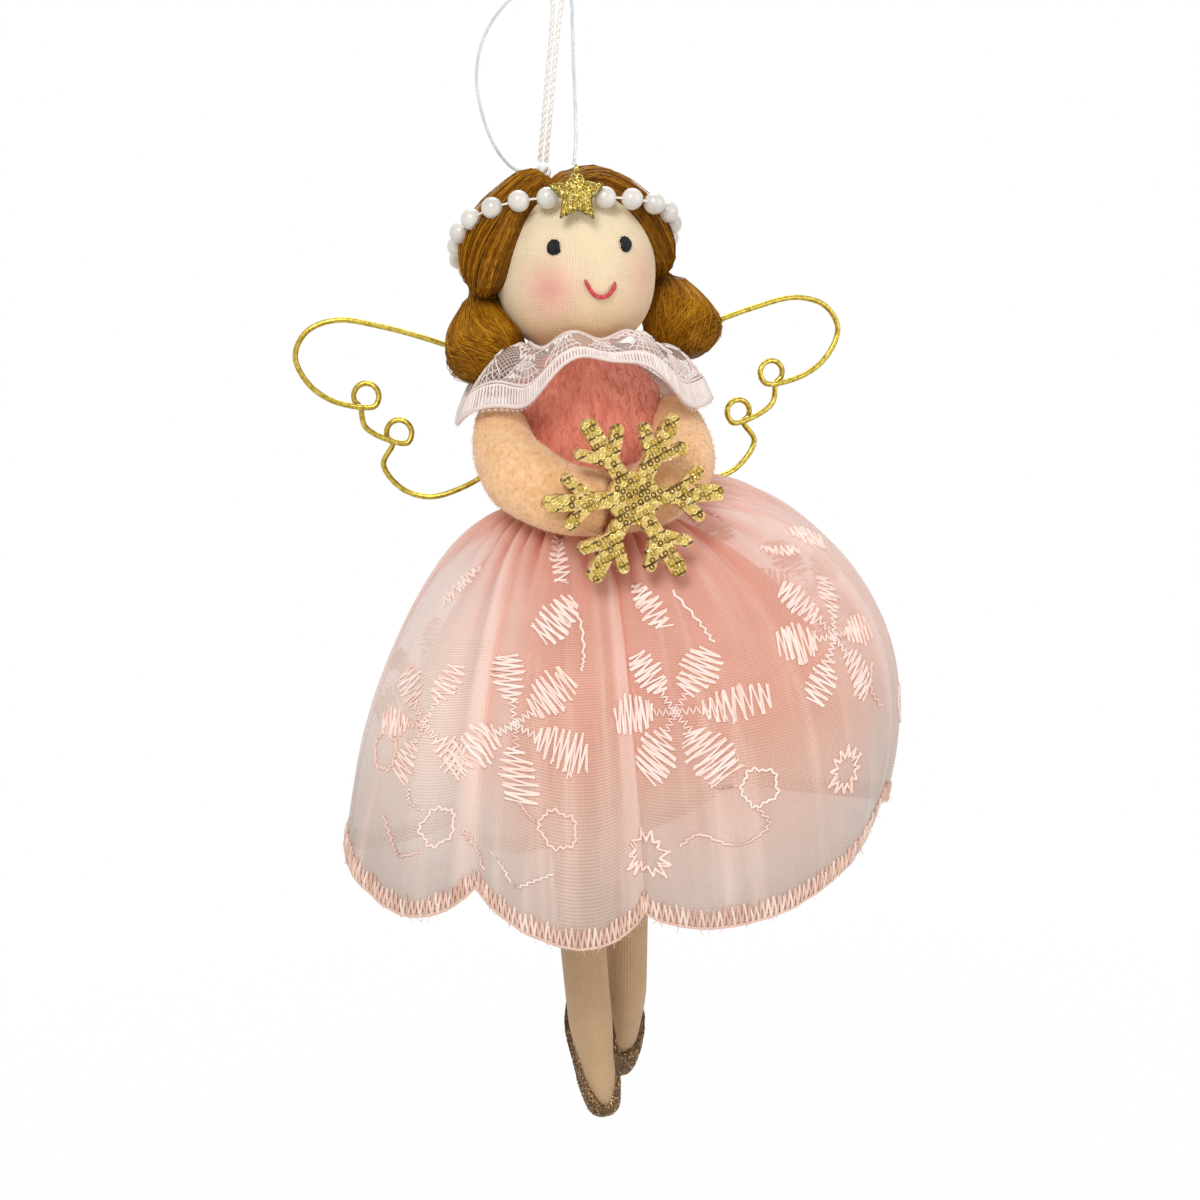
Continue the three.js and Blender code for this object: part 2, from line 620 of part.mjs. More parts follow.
function wingCurve(hand) {
  const spots = [
    wingSpot(1.4, -0.5), wingSpot(9, 2.8), wingSpot(24, 9.2), wingSpot(36, 13.1), wingSpot(45.3, 14.8),
    wingSpot(51.2, 12.8), wingSpot(53.6, 8.3), wingSpot(51.3, 3), wingSpot(46.3, -0.6),
    ...curl(40, 0.2, 0),
    wingSpot(40.2, -6, 1),
    ...curl(33.6, -7.2, 1),
    wingSpot(36.9, -13.2, 2), wingSpot(33.6, -18, 2), wingSpot(28.2, -19.9, 1.6), wingSpot(21.4, -18.2, 1),
    wingSpot(12, -13), wingSpot(1.4, -8.5),
  ];
  const reach = hand > 0 ? WING_REACH.left : WING_REACH.right;
  return new THREE.CatmullRomCurve3(spots.map((spot) => spot.multiply(point(hand * reach, 1, 1))));
}

// The least clear space between parts of a wire that are not neighbours along it
function leastGap(curve, radius) {
  const spots = curve.getSpacedPoints(420);
  const apart = Math.ceil((8 * radius * spots.length) / curve.getLength());
  let least = Infinity;
  spots.forEach((a, i) => {
    for (let j = i + apart; j < spots.length; j++) least = Math.min(least, a.distanceTo(spots[j]));
  });
  return least - 2 * radius;
}

function addWings() {
  for (const [side, hand] of [["right", -1], ["left", 1]]) {
    const wire = wingCurve(hand);
    add(`wing_${side}`, "wire", strand(wire, WIRE_R, 88, 5));
    console.log(`wing_${side} clears itself by ${leastGap(wire, WIRE_R).toFixed(2)} mm`);
  }
  const outline = new THREE.Shape();
  outline.absellipse(0, 0, PATCH.across, PATCH.up, 0, 2 * Math.PI);
  const patch = add("wing_patch", "bodice", plate(outline, PATCH.thick, 18));
  patch.rotation.x = Math.PI / 2;
  patch.position.set(0, wingBack + WIRE_R + FIT + PATCH.thick, shoulderZ - PATCH.drop);
}

// Skirt
function panelAt(turn) {
  const angle = THREE.MathUtils.radToDeg(turn);
  const edges = [...PLEATS, PLEATS[0] + 360];
  const wound = THREE.MathUtils.euclideanModulo(angle - edges[0], 360) + edges[0];
  const i = edges.findLastIndex((edge) => edge <= wound);
  return Math.sin((Math.PI * (wound - edges[i])) / (edges[i + 1] - edges[i]));
}

// A point of a skirt layer on a cubic from the waist over the flare and belly to the hem
function skirtSpot(layer, waist, turn, down, swell, scallop, puff = 0) {
  const at = (key) => round(turn, layer.left[key], layer.back[key], layer.right[key], layer.front[key]);
  const up = 1 - down;
  const weights = [up ** 3, 3 * up * up * down, 3 * up * down * down, down ** 3];
  const radii = [waist, at("flare"), at("belly"), at("hem")];
  const drops = [0, at("top"), at("level"), at("drop") + scallop];
  const radius = swell * down * Math.sqrt(down) + weights.reduce((sum, w, i) => sum + w * radii[i], 0);
  const drop = weights.reduce((sum, w, i) => sum + w * drops[i], -puff * Math.sin(Math.PI * down ** 0.6));
  return point(radius * Math.cos(turn), radius * Math.sin(turn), waistZ - drop);
}

function addSkirt() {
  const liningWaist = WAIST_R + FIT + VEIL / 2;
  const veilWaist = liningWaist + VEIL + FIT;
  const veil = (turn, down) => {
    const bulge = panelAt(turn);
    const away = THREE.MathUtils.euclideanModulo(turn - radians(PUFF.turn) + Math.PI, 2 * Math.PI) - Math.PI;
    const puff = PUFF.rise * Math.exp(-((away / radians(PUFF.width)) ** 2));
    return skirtSpot(SKIRT, veilWaist, turn, down, PANEL_SWELL * (bulge - 0.6), SCALLOP * bulge ** 0.7, puff);
  };
  const lining = (turn, down) => {
    const fold = LINING_FOLD * Math.cos(LINING_FOLDS * turn);
    return skirtSpot(LINING, liningWaist, turn, down, fold, 0).add(point(0, 0, -VEIL * (1 - down)));
  };
  const turns = [];
  [...PLEATS, PLEATS[0] + 360].reduce((from, to) => {
    for (let i = 0; i < PANEL_STEPS; i++) turns.push(radians(blend(from, to, i / PANEL_STEPS)));
    return to;
  });
  add("overskirt", "veil", cloth(veil, turns, 8, VEIL));
  add("skirt_lining", "lining", cloth(lining, evenTurns(LINING_FOLDS * 4), 5, VEIL));
  const bindR = WAIST_R + FIT + TIE_THREAD_R;
  const bindZ = waistZ + VEIL / 2 + 2 * FIT + TIE_THREAD_R;
  add("waist_thread", "white", hoop(circle(bindR, bindZ), TIE_THREAD_R, 20, 6));
}

// Legs: stations of [share of the length, girth, share of the stride], side by side and never crossing
const legStations = [
  [0, LEG.hip, 0],
  [0.3, LEG.thigh, 0.2],
  [0.68, LEG.calf, 0.7],
  [0.86, LEG.ankle, 0.8],
  [1, LEG.toe, 1.4],
];

function legCurve(hand, longer) {
  const top = hipZ - FIT - LEG.hip;
  const length = LEG_LENGTH - LEG.hip - (hand > 0 ? LEFT_SHORTER : 0) + longer;
  const apart = FIT + SHOE.wall + FIT / 2;
  const spots = legStations.map(([down, girth, pace]) =>
    point(hand * (girth + apart), hand * STRIDE * pace, top - length * down),
  );
  return new THREE.CatmullRomCurve3(spots);
}

function legGirth(t) {
  const i = Math.min(legStations.findLastIndex(([from]) => from <= t), legStations.length - 2);
  const [[from, a], [to, b]] = [legStations[i], legStations[i + 1]];
  const tip = Math.max(0, (t - LEG.roundShare) / (1 - LEG.roundShare));
  return blend(a, b, THREE.MathUtils.smoothstep(t, from, to)) * Math.sqrt(1.02 - tip * tip);
}

function addLegs() {
  for (const [side, hand] of [["right", -1], ["left", 1]]) {
    const curve = legCurve(hand, 0);
    const hip = curve.getPoint(0);
    const cap = new THREE.SphereGeometry(LEG.hip, 10, 6).translate(hip.x, hip.y, hip.z);
    add(`leg_${side}`, "skin", join(sweep(curve, legGirth, 20, 10), cap));
    const outer = sweep(legCurve(hand, FIT + SHOE.wall), (t) => legGirth(t) + FIT + SHOE.wall, 20, 10);
    const inner = sweep(legCurve(hand, FIT), (t) => legGirth(t) + FIT, 20, 10);
    const toe = curve.getPoint(1);
    const slope = Math.atan2(SHOE.heel - SHOE.instep, 2 * LEG.ankle);
    const above = new THREE.BoxGeometry(8 * LEG.calf, 6 * LEG_LENGTH, 2 * LEG_LENGTH);
    above.translate(0, 0, LEG_LENGTH).rotateX(slope);
    above.translate(toe.x, toe.y * 0.7, toe.z + (SHOE.heel + SHOE.instep) / 2);
    add(`slipper_${side}`, "slipper", cut(outer, inner, above));
  }
}

addHead();
addFace();
addHair();
addCirclet();
addHanger();
addTorso();
addCollar();
addArms();
addSnowflake();
addWings();
addSkirt();
addLegs();

export default angel;
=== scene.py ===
# %% [markdown]
# # A hanging cloth angel
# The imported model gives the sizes, the bodies and the joints. This lesson dresses it with cloth, thread,
# fibre and glitter, one piece at a time. Every new piece lies where its solid lies, and moves with the
# same body.

# %% Load the frame
import math
import random

import bpy
from mathutils import Matrix, Quaternion, Vector, noise


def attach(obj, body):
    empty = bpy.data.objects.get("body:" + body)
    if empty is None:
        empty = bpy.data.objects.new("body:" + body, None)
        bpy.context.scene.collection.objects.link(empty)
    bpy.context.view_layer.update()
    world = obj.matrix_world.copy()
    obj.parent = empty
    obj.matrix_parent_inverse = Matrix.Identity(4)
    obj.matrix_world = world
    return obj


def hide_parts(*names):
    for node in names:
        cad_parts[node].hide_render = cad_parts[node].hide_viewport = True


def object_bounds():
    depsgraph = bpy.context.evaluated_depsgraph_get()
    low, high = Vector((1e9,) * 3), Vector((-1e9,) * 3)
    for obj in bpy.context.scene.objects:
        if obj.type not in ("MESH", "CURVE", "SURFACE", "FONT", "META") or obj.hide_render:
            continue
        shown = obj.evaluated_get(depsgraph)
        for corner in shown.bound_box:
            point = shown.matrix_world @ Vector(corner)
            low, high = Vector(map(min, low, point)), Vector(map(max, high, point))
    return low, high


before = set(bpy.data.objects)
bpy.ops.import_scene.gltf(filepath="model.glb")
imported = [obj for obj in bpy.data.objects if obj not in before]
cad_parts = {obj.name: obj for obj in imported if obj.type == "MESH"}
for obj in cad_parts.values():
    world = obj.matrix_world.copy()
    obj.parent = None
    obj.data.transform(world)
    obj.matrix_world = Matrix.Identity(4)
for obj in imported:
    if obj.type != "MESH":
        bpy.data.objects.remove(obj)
cad_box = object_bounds()
MM = 0.001
BALL = Vector((0, 0, -55.6)) * MM  # middle of the head's foam ball
LEAN = math.radians(5)  # the hair leans to the doll's right
SIDES = (("right", -1), ("left", 1))


def spot(x, y, z):
    """A point in millimetres from the middle of the head, in the frame's metres."""
    return BALL + Vector((x, y, z)) * MM


def crown_spot(x, y, z):
    """The same for the leaning hair."""
    return spot(*(Quaternion((0, 1, 0), -LEAN) @ Vector((x, y, z))))


# %% [markdown]
# ## Camera, light and backdrop
# The photograph looks at the doll from a little to its right and a little above, and the doll's head
# leans to the left of the picture. One camera matrix holds all of that. The light is three large soft
# lamps and an even pale world. The backdrop is white only for rays that come from the camera, a mirror or
# glass, so the white itself adds no light.

# %% Camera
AZIMUTH, ELEVATION, ROLL = math.radians(-14), math.radians(8), math.radians(2.5)
DISTANCE = 0.467
PICTURE = 0.224  # width of the picture at the doll
AIM = (4.7 * MM, -63.3 * MM)  # right of the ball and below it, where the picture has its middle


def photo_camera():
    back = Vector((math.sin(AZIMUTH), -math.cos(AZIMUTH), 0)) * math.cos(ELEVATION)
    back.z = math.sin(ELEVATION)
    right = Vector((math.cos(AZIMUTH), math.sin(AZIMUTH), 0))
    tilt = Matrix.Rotation(-ROLL, 3, back)
    right, up = tilt @ right, tilt @ back.cross(right)
    place = BALL + AIM[0] * right + AIM[1] * up + DISTANCE * back
    data = bpy.data.cameras.new("camera")
    data.sensor_width = 36
    data.lens = data.sensor_width * DISTANCE / PICTURE
    data.clip_start, data.clip_end = 0.01, 20
    camera = bpy.data.objects.new("camera", data)
    bpy.context.collection.objects.link(camera)
    camera.matrix_world = Matrix((right, up, back)).transposed().to_4x4()
    camera.location = place
    bpy.context.scene.camera = camera
    return camera


print("camera at", [round(v, 3) for v in photo_camera().location])


# %% [markdown]
# A node tree is easier to read when each node is made in one line. This helper makes a node, sets its
# options, and fills its sockets: a socket is linked, anything else is a constant.

# %% Node helper
def add(tree, kind, sockets=None, **options):
    node = tree.nodes.new(kind)
    for key, value in options.items():
        setattr(node, key, value)
    for key, value in (sockets or {}).items():
        if isinstance(value, bpy.types.NodeSocket):
            tree.links.new(value, node.inputs[key])
        else:
            node.inputs[key].default_value = value
    return node


def math_node(tree, operation, *values):
    return add(tree, "ShaderNodeMath", dict(enumerate(values)), operation=operation).outputs[0]


def ranged(tree, value, low, high, first=0.0, last=1.0):
    """A value between low and high, as a number from first to last."""
    sockets = {0: value, 1: low, 2: high, 3: first, 4: last}
    return add(tree, "ShaderNodeMapRange", sockets).outputs[0]


def seen_directly(tree):
    """One for rays from the camera, a mirror or glass, and nought for rays that light the object."""
    path = add(tree, "ShaderNodeLightPath")
    either = math_node(tree, "MAXIMUM", path.outputs["Is Camera Ray"], path.outputs["Is Glossy Ray"])
    return math_node(tree, "MAXIMUM", either, path.outputs["Is Transmission Ray"])


def srgb(red, green, blue):
    """A colour as it looks on the screen, 0 to 255, as the linear values that a shader takes."""
    def linear(value):
        share = value / 255
        return share / 12.92 if share <= 0.04045 else ((share + 0.055) / 1.055) ** 2.4
    return (linear(red), linear(green), linear(blue), 1.0)


# %% [markdown]
# The light could come from a picture of a room, but plain lamps are easier to place and to change. Large
# lamps give soft shadows, and the world adds an even fill.

# %% World and lamps
AMBIENT = 0.47


def white_world():
    world = bpy.data.worlds.new("studio")
    world.use_nodes = True
    tree = world.node_tree
    tree.nodes.clear()
    room = add(tree, "ShaderNodeBackground", {"Color": srgb(255, 250, 244), "Strength": AMBIENT})
    paper = add(tree, "ShaderNodeBackground", {"Color": (1, 1, 1, 1), "Strength": 1.0})
    both = add(tree, "ShaderNodeMixShader", {0: seen_directly(tree), 1: room.outputs[0], 2: paper.outputs[0]})
    add(tree, "ShaderNodeOutputWorld", {"Surface": both.outputs[0]})
    bpy.context.scene.world = world
    bpy.context.scene.view_settings.view_transform = "Standard"


def soft_lamp(name, place, power, size):
    lamp = bpy.data.lights.new(name, "AREA")
    lamp.energy, lamp.size = power, size
    holder = bpy.data.objects.new(name, lamp)
    bpy.context.collection.objects.link(holder)
    holder.location = place
    aim = BALL + Vector((0, 0, -0.05)) - Vector(place)
    holder.rotation_mode = "QUATERNION"
    holder.rotation_quaternion = aim.to_track_quat("-Z", "Y")


white_world()
soft_lamp("key_lamp", (-0.32, -0.62, 0.42), 4.0, 0.34)
soft_lamp("fill_lamp", (0.6, -0.5, 0.05), 1.4, 0.5)
soft_lamp("top_lamp", (0.12, 0.35, 0.5), 1.7, 0.4)


# %% [markdown]
# The doll hangs, so the floor only takes a faint shadow under the toes. Plain paper would show its far
# edge, so its finish fades to pure white away from the doll.

# %% Floor
FLOOR_BELOW = 0.04  # under the toes
FLOOR_HALF = 1.6


def pale_floor():
    height = cad_box[0].z - FLOOR_BELOW
    corners = [(-1, -1), (1, -1), (1, 1), (-1, 1)]
    mesh = bpy.data.meshes.new("floor")
    mesh.from_pydata([(x * FLOOR_HALF, y * FLOOR_HALF, height) for x, y in corners], [], [(0, 1, 2, 3)])
    floor = bpy.data.objects.new("floor", mesh)
    bpy.context.collection.objects.link(floor)
    paper = bpy.data.materials.new("paper")
    paper.use_nodes = True
    tree = paper.node_tree
    tree.nodes.clear()
    lit = add(tree, "ShaderNodeBsdfDiffuse", {"Color": srgb(247, 246, 244)})
    plain = add(tree, "ShaderNodeEmission", {"Color": (1, 1, 1, 1), "Strength": 1.0})
    where = add(tree, "ShaderNodeTexCoord").outputs["Object"]
    ends = {0: where, 1: (0, 0, height)}
    away = add(tree, "ShaderNodeVectorMath", ends, operation="DISTANCE").outputs["Value"]
    fade = ranged(tree, away, 0.08, 0.3, 0.97, 1.0)
    shown = math_node(tree, "MULTIPLY", seen_directly(tree), fade)
    both = add(tree, "ShaderNodeMixShader", {0: shown, 1: lit.outputs[0], 2: plain.outputs[0]})
    add(tree, "ShaderNodeOutputMaterial", {"Surface": both.outputs[0]})
    mesh.materials.append(paper)


pale_floor()

# %% [markdown]
# ## Threads by Geometry Nodes
# Hair, lace, stitches, cord and wire are all thin tubes that follow a line. One node tree makes them: it
# takes a mesh of bare edges, turns it into curves, and sweeps a circle along each. The edges carry three
# values of their own, thickness, tone and the share of the length, and the tubes keep the last two for
# their colour. Blender's own hair could give strands too, but a mesh of tubes leaves the program just as
# it is seen.

# %% The thread tree
def geometry_tree(name, result, **inputs):
    """A node tree with named inputs, each of its kind, and one result. Gives the tree and its inputs."""
    tree = bpy.data.node_groups.new(name, "GeometryNodeTree")
    for word, kind in inputs.items():
        tree.interface.new_socket(word, in_out="INPUT", socket_type="NodeSocket" + kind)
    tree.interface.new_socket(result, in_out="OUTPUT", socket_type="NodeSocketGeometry")
    return tree, add(tree, "NodeGroupInput").outputs


def ended(tree, start, made):
    """Ends a tree: what it made takes the tree's material and is the result."""
    done = add(tree, "GeometryNodeSetMaterial", {"Geometry": made, "Material": start["Material"]})
    add(tree, "NodeGroupOutput", {0: done.outputs[0]})
    return tree


def thread_tree():
    inputs = {"Lines": "Geometry", "Radius": "Float", "Sides": "Int", "Material": "Material"}
    tree, start = geometry_tree("threads", "Threads", **inputs)
    curves = add(tree, "GeometryNodeMeshToCurve", {"Mesh": start["Lines"]})
    thick = add(tree, "GeometryNodeInputNamedAttribute", {"Name": "thick"}, data_type="FLOAT")
    scale = math_node(tree, "MULTIPLY", thick.outputs["Attribute"], start["Radius"])
    ring = add(tree, "GeometryNodeCurvePrimitiveCircle", {"Resolution": start["Sides"], "Radius": 1.0})
    sockets = {"Curve": curves.outputs[0], "Profile Curve": ring.outputs[0], "Scale": scale}
    tubes = add(tree, "GeometryNodeCurveToMesh", {**sockets, "Fill Caps": True})
    smooth = add(tree, "GeometryNodeSetShadeSmooth", {"Geometry": tubes.outputs[0]})
    real = add(tree, "GeometryNodeRealizeInstances", {"Geometry": smooth.outputs[0]})
    return ended(tree, start, real.outputs[0])


THREADS = thread_tree()


def settled(piece):
    """Turns what the modifiers make into a plain mesh and takes the modifiers away."""
    graph = bpy.context.evaluated_depsgraph_get()
    seen = piece.evaluated_get(graph)
    made = bpy.data.meshes.new_from_object(seen, preserve_all_data_layers=True, depsgraph=graph)
    piece.modifiers.clear()
    piece.data = made
    return piece


def grown(piece, tree, **values):
    """Runs a node tree on a piece, with its inputs set by their sockets' identifiers, and settles it."""
    modifier = piece.modifiers.new(tree.name, "NODES")
    modifier.node_group = tree
    for item in tree.interface.items_tree:
        if item.item_type == "SOCKET" and item.name in values:
            modifier[item.identifier] = values[item.name]
    return settled(piece)


def linked(name, mesh):
    piece = bpy.data.objects.new(name, mesh)
    bpy.context.collection.objects.link(piece)
    return piece


def threads(name, lines, radius, material, sides=5, tones=None, taper=None):
    """One mesh of tubes along many lines. Tones is one value for each line, taper a thickness along it."""
    places, edges, values = [], [], {"thick": [], "tone": [], "along": []}
    for number, line in enumerate(lines):
        first, last = len(places), len(line) - 1
        places.extend(line)
        edges.extend((first + k, first + k + 1) for k in range(last))
        values["along"].extend(k / last for k in range(last + 1))
        values["thick"].extend(taper(k / last) if taper else 1.0 for k in range(last + 1))
        values["tone"].extend([tones[number] if tones else 0.5] * (last + 1))
    mesh = bpy.data.meshes.new(name)
    mesh.from_pydata(places, edges, [])
    for key, numbers in values.items():
        mesh.attributes.new(key, "FLOAT", "POINT").data.foreach_set("value", numbers)
    piece = grown(linked(name, mesh), THREADS, Radius=radius, Sides=sides, Material=material)
    print(name, len(lines), "threads,", len(piece.data.polygons), "faces")
    return piece


# %% [markdown]
# Many of the doll's lines are given by a few points. A smooth curve through them is the one that the
# solids use too, so the dressed piece and its solid follow the same line.

# %% Smooth lines
def through(points, steps=12):
    """A smooth line through points, with even steps between each two of them."""
    ends = [2 * points[0] - points[1], *points, 2 * points[-1] - points[-2]]
    line = []
    for a, b, c, d in zip(ends, ends[1:], ends[2:], ends[3:]):
        t1, t2, t3 = (max((q - p).length, 1e-9) ** 0.5 for p, q in ((a, b), (b, c), (c, d)))
        lead = ((b - a) / t1 - (c - a) / (t1 + t2) + (c - b) / t2) * t2
        tail = ((c - b) / t2 - (d - b) / (t2 + t3) + (d - c) / t3) * t2
        for k in range(steps):
            t = k / steps
            square, cube = 3 * (c - b) - 2 * lead - tail, 2 * (b - c) + lead + tail
            line.append(b + lead * t + square * t * t + cube * t ** 3)
    return [*line, points[-1]]


def even(line, count):
    """The same line with points that lie evenly along it."""
    lengths = [0.0]
    for a, b in zip(line, line[1:]):
        lengths.append(lengths[-1] + (b - a).length)
    places, k = [], 0
    for i in range(count):
        want = lengths[-1] * i / (count - 1)
        while k < len(line) - 2 and lengths[k + 1] < want:
            k += 1
        span = max(lengths[k + 1] - lengths[k], 1e-12)
        places.append(line[k].lerp(line[k + 1], min(1, (want - lengths[k]) / span)))
    return places


def frames_along(line):
    """Two directions across a line at each point, turned as little as possible from point to point."""
    across, frames = None, []
    for k in range(len(line)):
        ahead = (line[min(k + 1, len(line) - 1)] - line[max(k - 1, 0)]).normalized()
        if across is None:
            across = ahead.orthogonal().normalized()
        across = (across - ahead * across.dot(ahead)).normalized()
        frames.append((across, ahead.cross(across)))
    return frames


def plies(line, count, radius, pitch):
    """Lines that wind round a line, as the plies of a twisted cord do."""
    frames = frames_along(line)
    wound, length = [[] for _ in range(count)], 0.0
    for k, (place, (across, aside)) in enumerate(zip(line, frames)):
        length += (place - line[k - 1]).length if k else 0
        for ply in range(count):
            turn = 2 * math.pi * (length / pitch + ply / count)
            wound[ply].append(place + radius * (math.cos(turn) * across + math.sin(turn) * aside))
    return wound


# %% [markdown]
# ## Finishes for thread and fibre
# Fibre is never one flat colour: each strand has its own tone, and hair is a little darker at the root. In
# the hair, tone and root are partly painted shade. The thread tree keeps both as attributes, and a ramp
# turns them into colour.

# %% Fibre finishes
def finish(name, roughness=0.6, **sockets):
    """A material with its tree and its main shader. Sockets are set by the words of their names."""
    material = bpy.data.materials.new(name)
    material.use_nodes = True
    shader = material.node_tree.nodes["Principled BSDF"]
    shader.inputs["Roughness"].default_value = roughness
    for key, value in sockets.items():
        shader.inputs[key.replace("_", " ")].default_value = value
    return material, material.node_tree, shader


def ramp(tree, factor, *stops):
    """A colour ramp with stops of (place, colour)."""
    node = add(tree, "ShaderNodeValToRGB", {"Fac": factor})
    bar = node.color_ramp.elements
    while len(bar) < len(stops):
        bar.new(0.5)
    for element, (place, colour) in zip(bar, stops):
        element.position, element.color = place, colour
    return node.outputs["Color"]


def blended(tree, factor, low, high, blend="MIX"):
    sockets = {0: factor, 6: low, 7: high}
    return add(tree, "ShaderNodeMix", sockets, data_type="RGBA", blend_type=blend).outputs[2]


def attribute(tree, name):
    return add(tree, "ShaderNodeAttribute", attribute_name=name).outputs["Fac"]


def bumped(tree, shader, height, strength, depth):
    sockets = {"Height": height, "Strength": strength, "Distance": depth}
    normal = add(tree, "ShaderNodeBump", sockets).outputs[0]
    tree.links.new(normal, shader.inputs["Normal"])


def object_noise(tree, scale, detail=3.0, stretch=(1, 1, 1)):
    """Noise on the object's own coordinates, with scale in features for each metre."""
    where = add(tree, "ShaderNodeTexCoord").outputs["Object"]
    place = add(tree, "ShaderNodeMapping", {"Vector": where, "Scale": stretch}).outputs[0]
    return add(tree, "ShaderNodeTexNoise", {"Vector": place, "Scale": scale, "Detail": detail}).outputs["Fac"]


def object_height(tree):
    """How high a point of the object lies, in metres."""
    where = add(tree, "ShaderNodeTexCoord").outputs["Object"]
    return add(tree, "ShaderNodeSeparateXYZ", {0: where}).outputs[2]


def cloth_uv(tree):
    """The two places of the cloth's UV map, in millimetres."""
    where = add(tree, "ShaderNodeUVMap", uv_map="cloth").outputs[0]
    u, v, _ = add(tree, "ShaderNodeSeparateXYZ", {0: where}).outputs
    return u, v


def fibre(name, dark, middle, light, roughness, root_shade=0.0, **sockets):
    """Thread or hair: each strand has its own tone, a little noise runs along it, and the root can get
    painted shade.
    """
    material, tree, shader = finish(name, roughness, **sockets)
    streak = math_node(tree, "MULTIPLY", object_noise(tree, 900, 2.0), 0.45)
    tone = math_node(tree, "ADD", math_node(tree, "MULTIPLY", attribute(tree, "tone"), 0.85), streak)
    tone = math_node(tree, "SUBTRACT", tone, 0.15)
    colour = ramp(tree, tone, (0.0, dark), (0.5, middle), (1.0, light))
    # Painted shade towards the root of each strand.
    if root_shade:
        root = ranged(tree, attribute(tree, "along"), 0.0, 0.3, root_shade, 0.0)
        colour = blended(tree, root, colour, dark)
    tree.links.new(colour, shader.inputs["Base Color"])
    return material


WHITE_THREAD = fibre("white_thread", srgb(214, 208, 202), srgb(240, 237, 233), srgb(252, 251, 250), 0.55)
LACE_THREAD = fibre("lace_thread", srgb(214, 195, 188), srgb(235, 221, 216), srgb(249, 242, 239), 0.6)
BLACK_THREAD = fibre("eye_thread", srgb(8, 8, 9), srgb(16, 17, 19), srgb(40, 42, 46), 0.5,
                     Specular_IOR_Level=0.2)
RED_THREAD = fibre("mouth_thread", srgb(160, 40, 52), srgb(201, 62, 74), srgb(226, 96, 102), 0.45)
PINK_THREAD = fibre("stitch_thread", srgb(240, 192, 176), srgb(250, 219, 207), srgb(254, 241, 235), 0.34,
                    Sheen_Weight=0.2)
HEM_THREAD = fibre("hem_thread", srgb(186, 142, 122), srgb(228, 192, 175), srgb(252, 230, 218), 0.4)
HAIR = fibre("hair_fibre", srgb(60, 34, 0), srgb(150, 94, 6), srgb(218, 158, 36), 0.55, root_shade=0.08,
             Specular_IOR_Level=0.15)

# %% [markdown]
# ## The hanging cord and the clear thread
# Cords come before the rest. The white cord is a loop of two-ply cord that a hook holds taut above the
# picture: the same route as its solid, with two plies wound round it. The clear thread is one strand of
# nylon.

# %% Cords
CORD_R, CLEAR_R = 0.5, 0.3
PARTING_ASIDE = 2.6  # the parting lies to the doll's right of the crown
KNOT = Quaternion((0, 1, 0), -LEAN) @ (Vector((-PARTING_ASIDE, 4, 16)).normalized() * 17.8)
LOOP_TOP, LOOP_FOOT = 55.1, KNOT.z + 1.8
LEG_ROUTE = ((0.6, 0), (0.6, 0.2), (0.6, 0.45), (0.65, 0.68), (1.1, 0.84), (1.9, 0.93), (1.5, 0.985))
CLEAR_ROUTE = (
    (-6.2, 4.8, 16.8), (-9.2, 5.3, 17.3), (-11.6, 4.8, 19.3), (-14.1, 3.8, 23.2),
    (-15.9, 2.8, 28.6), (-16.6, 2, 34), (-15.6, 1, 40), (-12.4, -0.4, 45.6),
    (-7.6, -1.8, 49.6), (-2.6, -2.4, 51), (0.6, -2.4, 48.2), (0.9, -2.4, 42.6),
    (0.7, -2.8, 35.6), (0.5, -3.6, 28.2), (0, -4.8, 21.6), (-0.8, -5.8, 17.6),
)


def line_length(line):
    return sum((b - a).length for a, b in zip(line, line[1:]))


def cord_route():
    def leg(hand):
        for apart, up in LEG_ROUTE:
            height = LOOP_FOOT + (LOOP_TOP - LOOP_FOOT) * up
            yield spot(KNOT.x * (1 - up) + hand * apart, KNOT.y * (1 - up), height)
    return even(through([*leg(-1), spot(0, 0, LOOP_TOP), *reversed(list(leg(1)))]), 160)


def clear_nylon():
    material, tree, shader = finish("clear_nylon", 0.18, Transmission_Weight=0.55, IOR=1.5)
    pale = ramp(tree, object_noise(tree, 600), (0.3, srgb(214, 220, 222)), (0.7, srgb(240, 244, 245)))
    tree.links.new(pale, shader.inputs["Base Color"])
    return material


def hang_cords():
    route = cord_route()
    ply_r = 0.54 * CORD_R
    wound = plies(route, 2, (CORD_R - ply_r) * MM, 2.6 * MM)
    cord = threads("cord_plies", wound, ply_r * MM, WHITE_THREAD, 7, tones=[0.45, 0.6])
    knot = threads("cord_knot", knot_wraps(), 0.5 * MM, WHITE_THREAD, 7, tones=[0.5])
    for piece, node in ((cord, "hanging_cord"), (knot, "hanging_knot")):
        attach(piece, "head")
        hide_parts(node)
    tuple(route[0])
    line_length(route)
    [tuple(p) for p in route]
    thin = even(through([spot(*place) for place in CLEAR_ROUTE]), 120)
    line = threads("clear_line", [thin], CLEAR_R * MM, clear_nylon(), 8)
    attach(line, "head")
    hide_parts("clear_thread")
    tuple(thin[0])
    line_length(thin)
    [tuple(p) for p in thin]
    print("cord", round(line_length(route), 4), "m, clear thread", round(line_length(thin), 4), "m")


def knot_wraps():
    """A three-lobed overhand knot, drawn tight."""
    line = []
    for k in range(73):
        turn = 2 * math.pi * k / 72
        ring = 0.62 + 0.36 * math.cos(3 * turn)
        line.append(spot(KNOT.x + ring * math.cos(2 * turn), KNOT.y + ring * math.sin(2 * turn),
                         KNOT.z + 0.75 * math.sin(3 * turn)))
    return [line]


hang_cords()

# %% [markdown]
# ## Surfaces from rows of points
# Cloth and stuffed forms are rows of points joined into faces. The same step lays a UV map in
# millimetres, so that a knit or a weave keeps its real size wherever it lies.

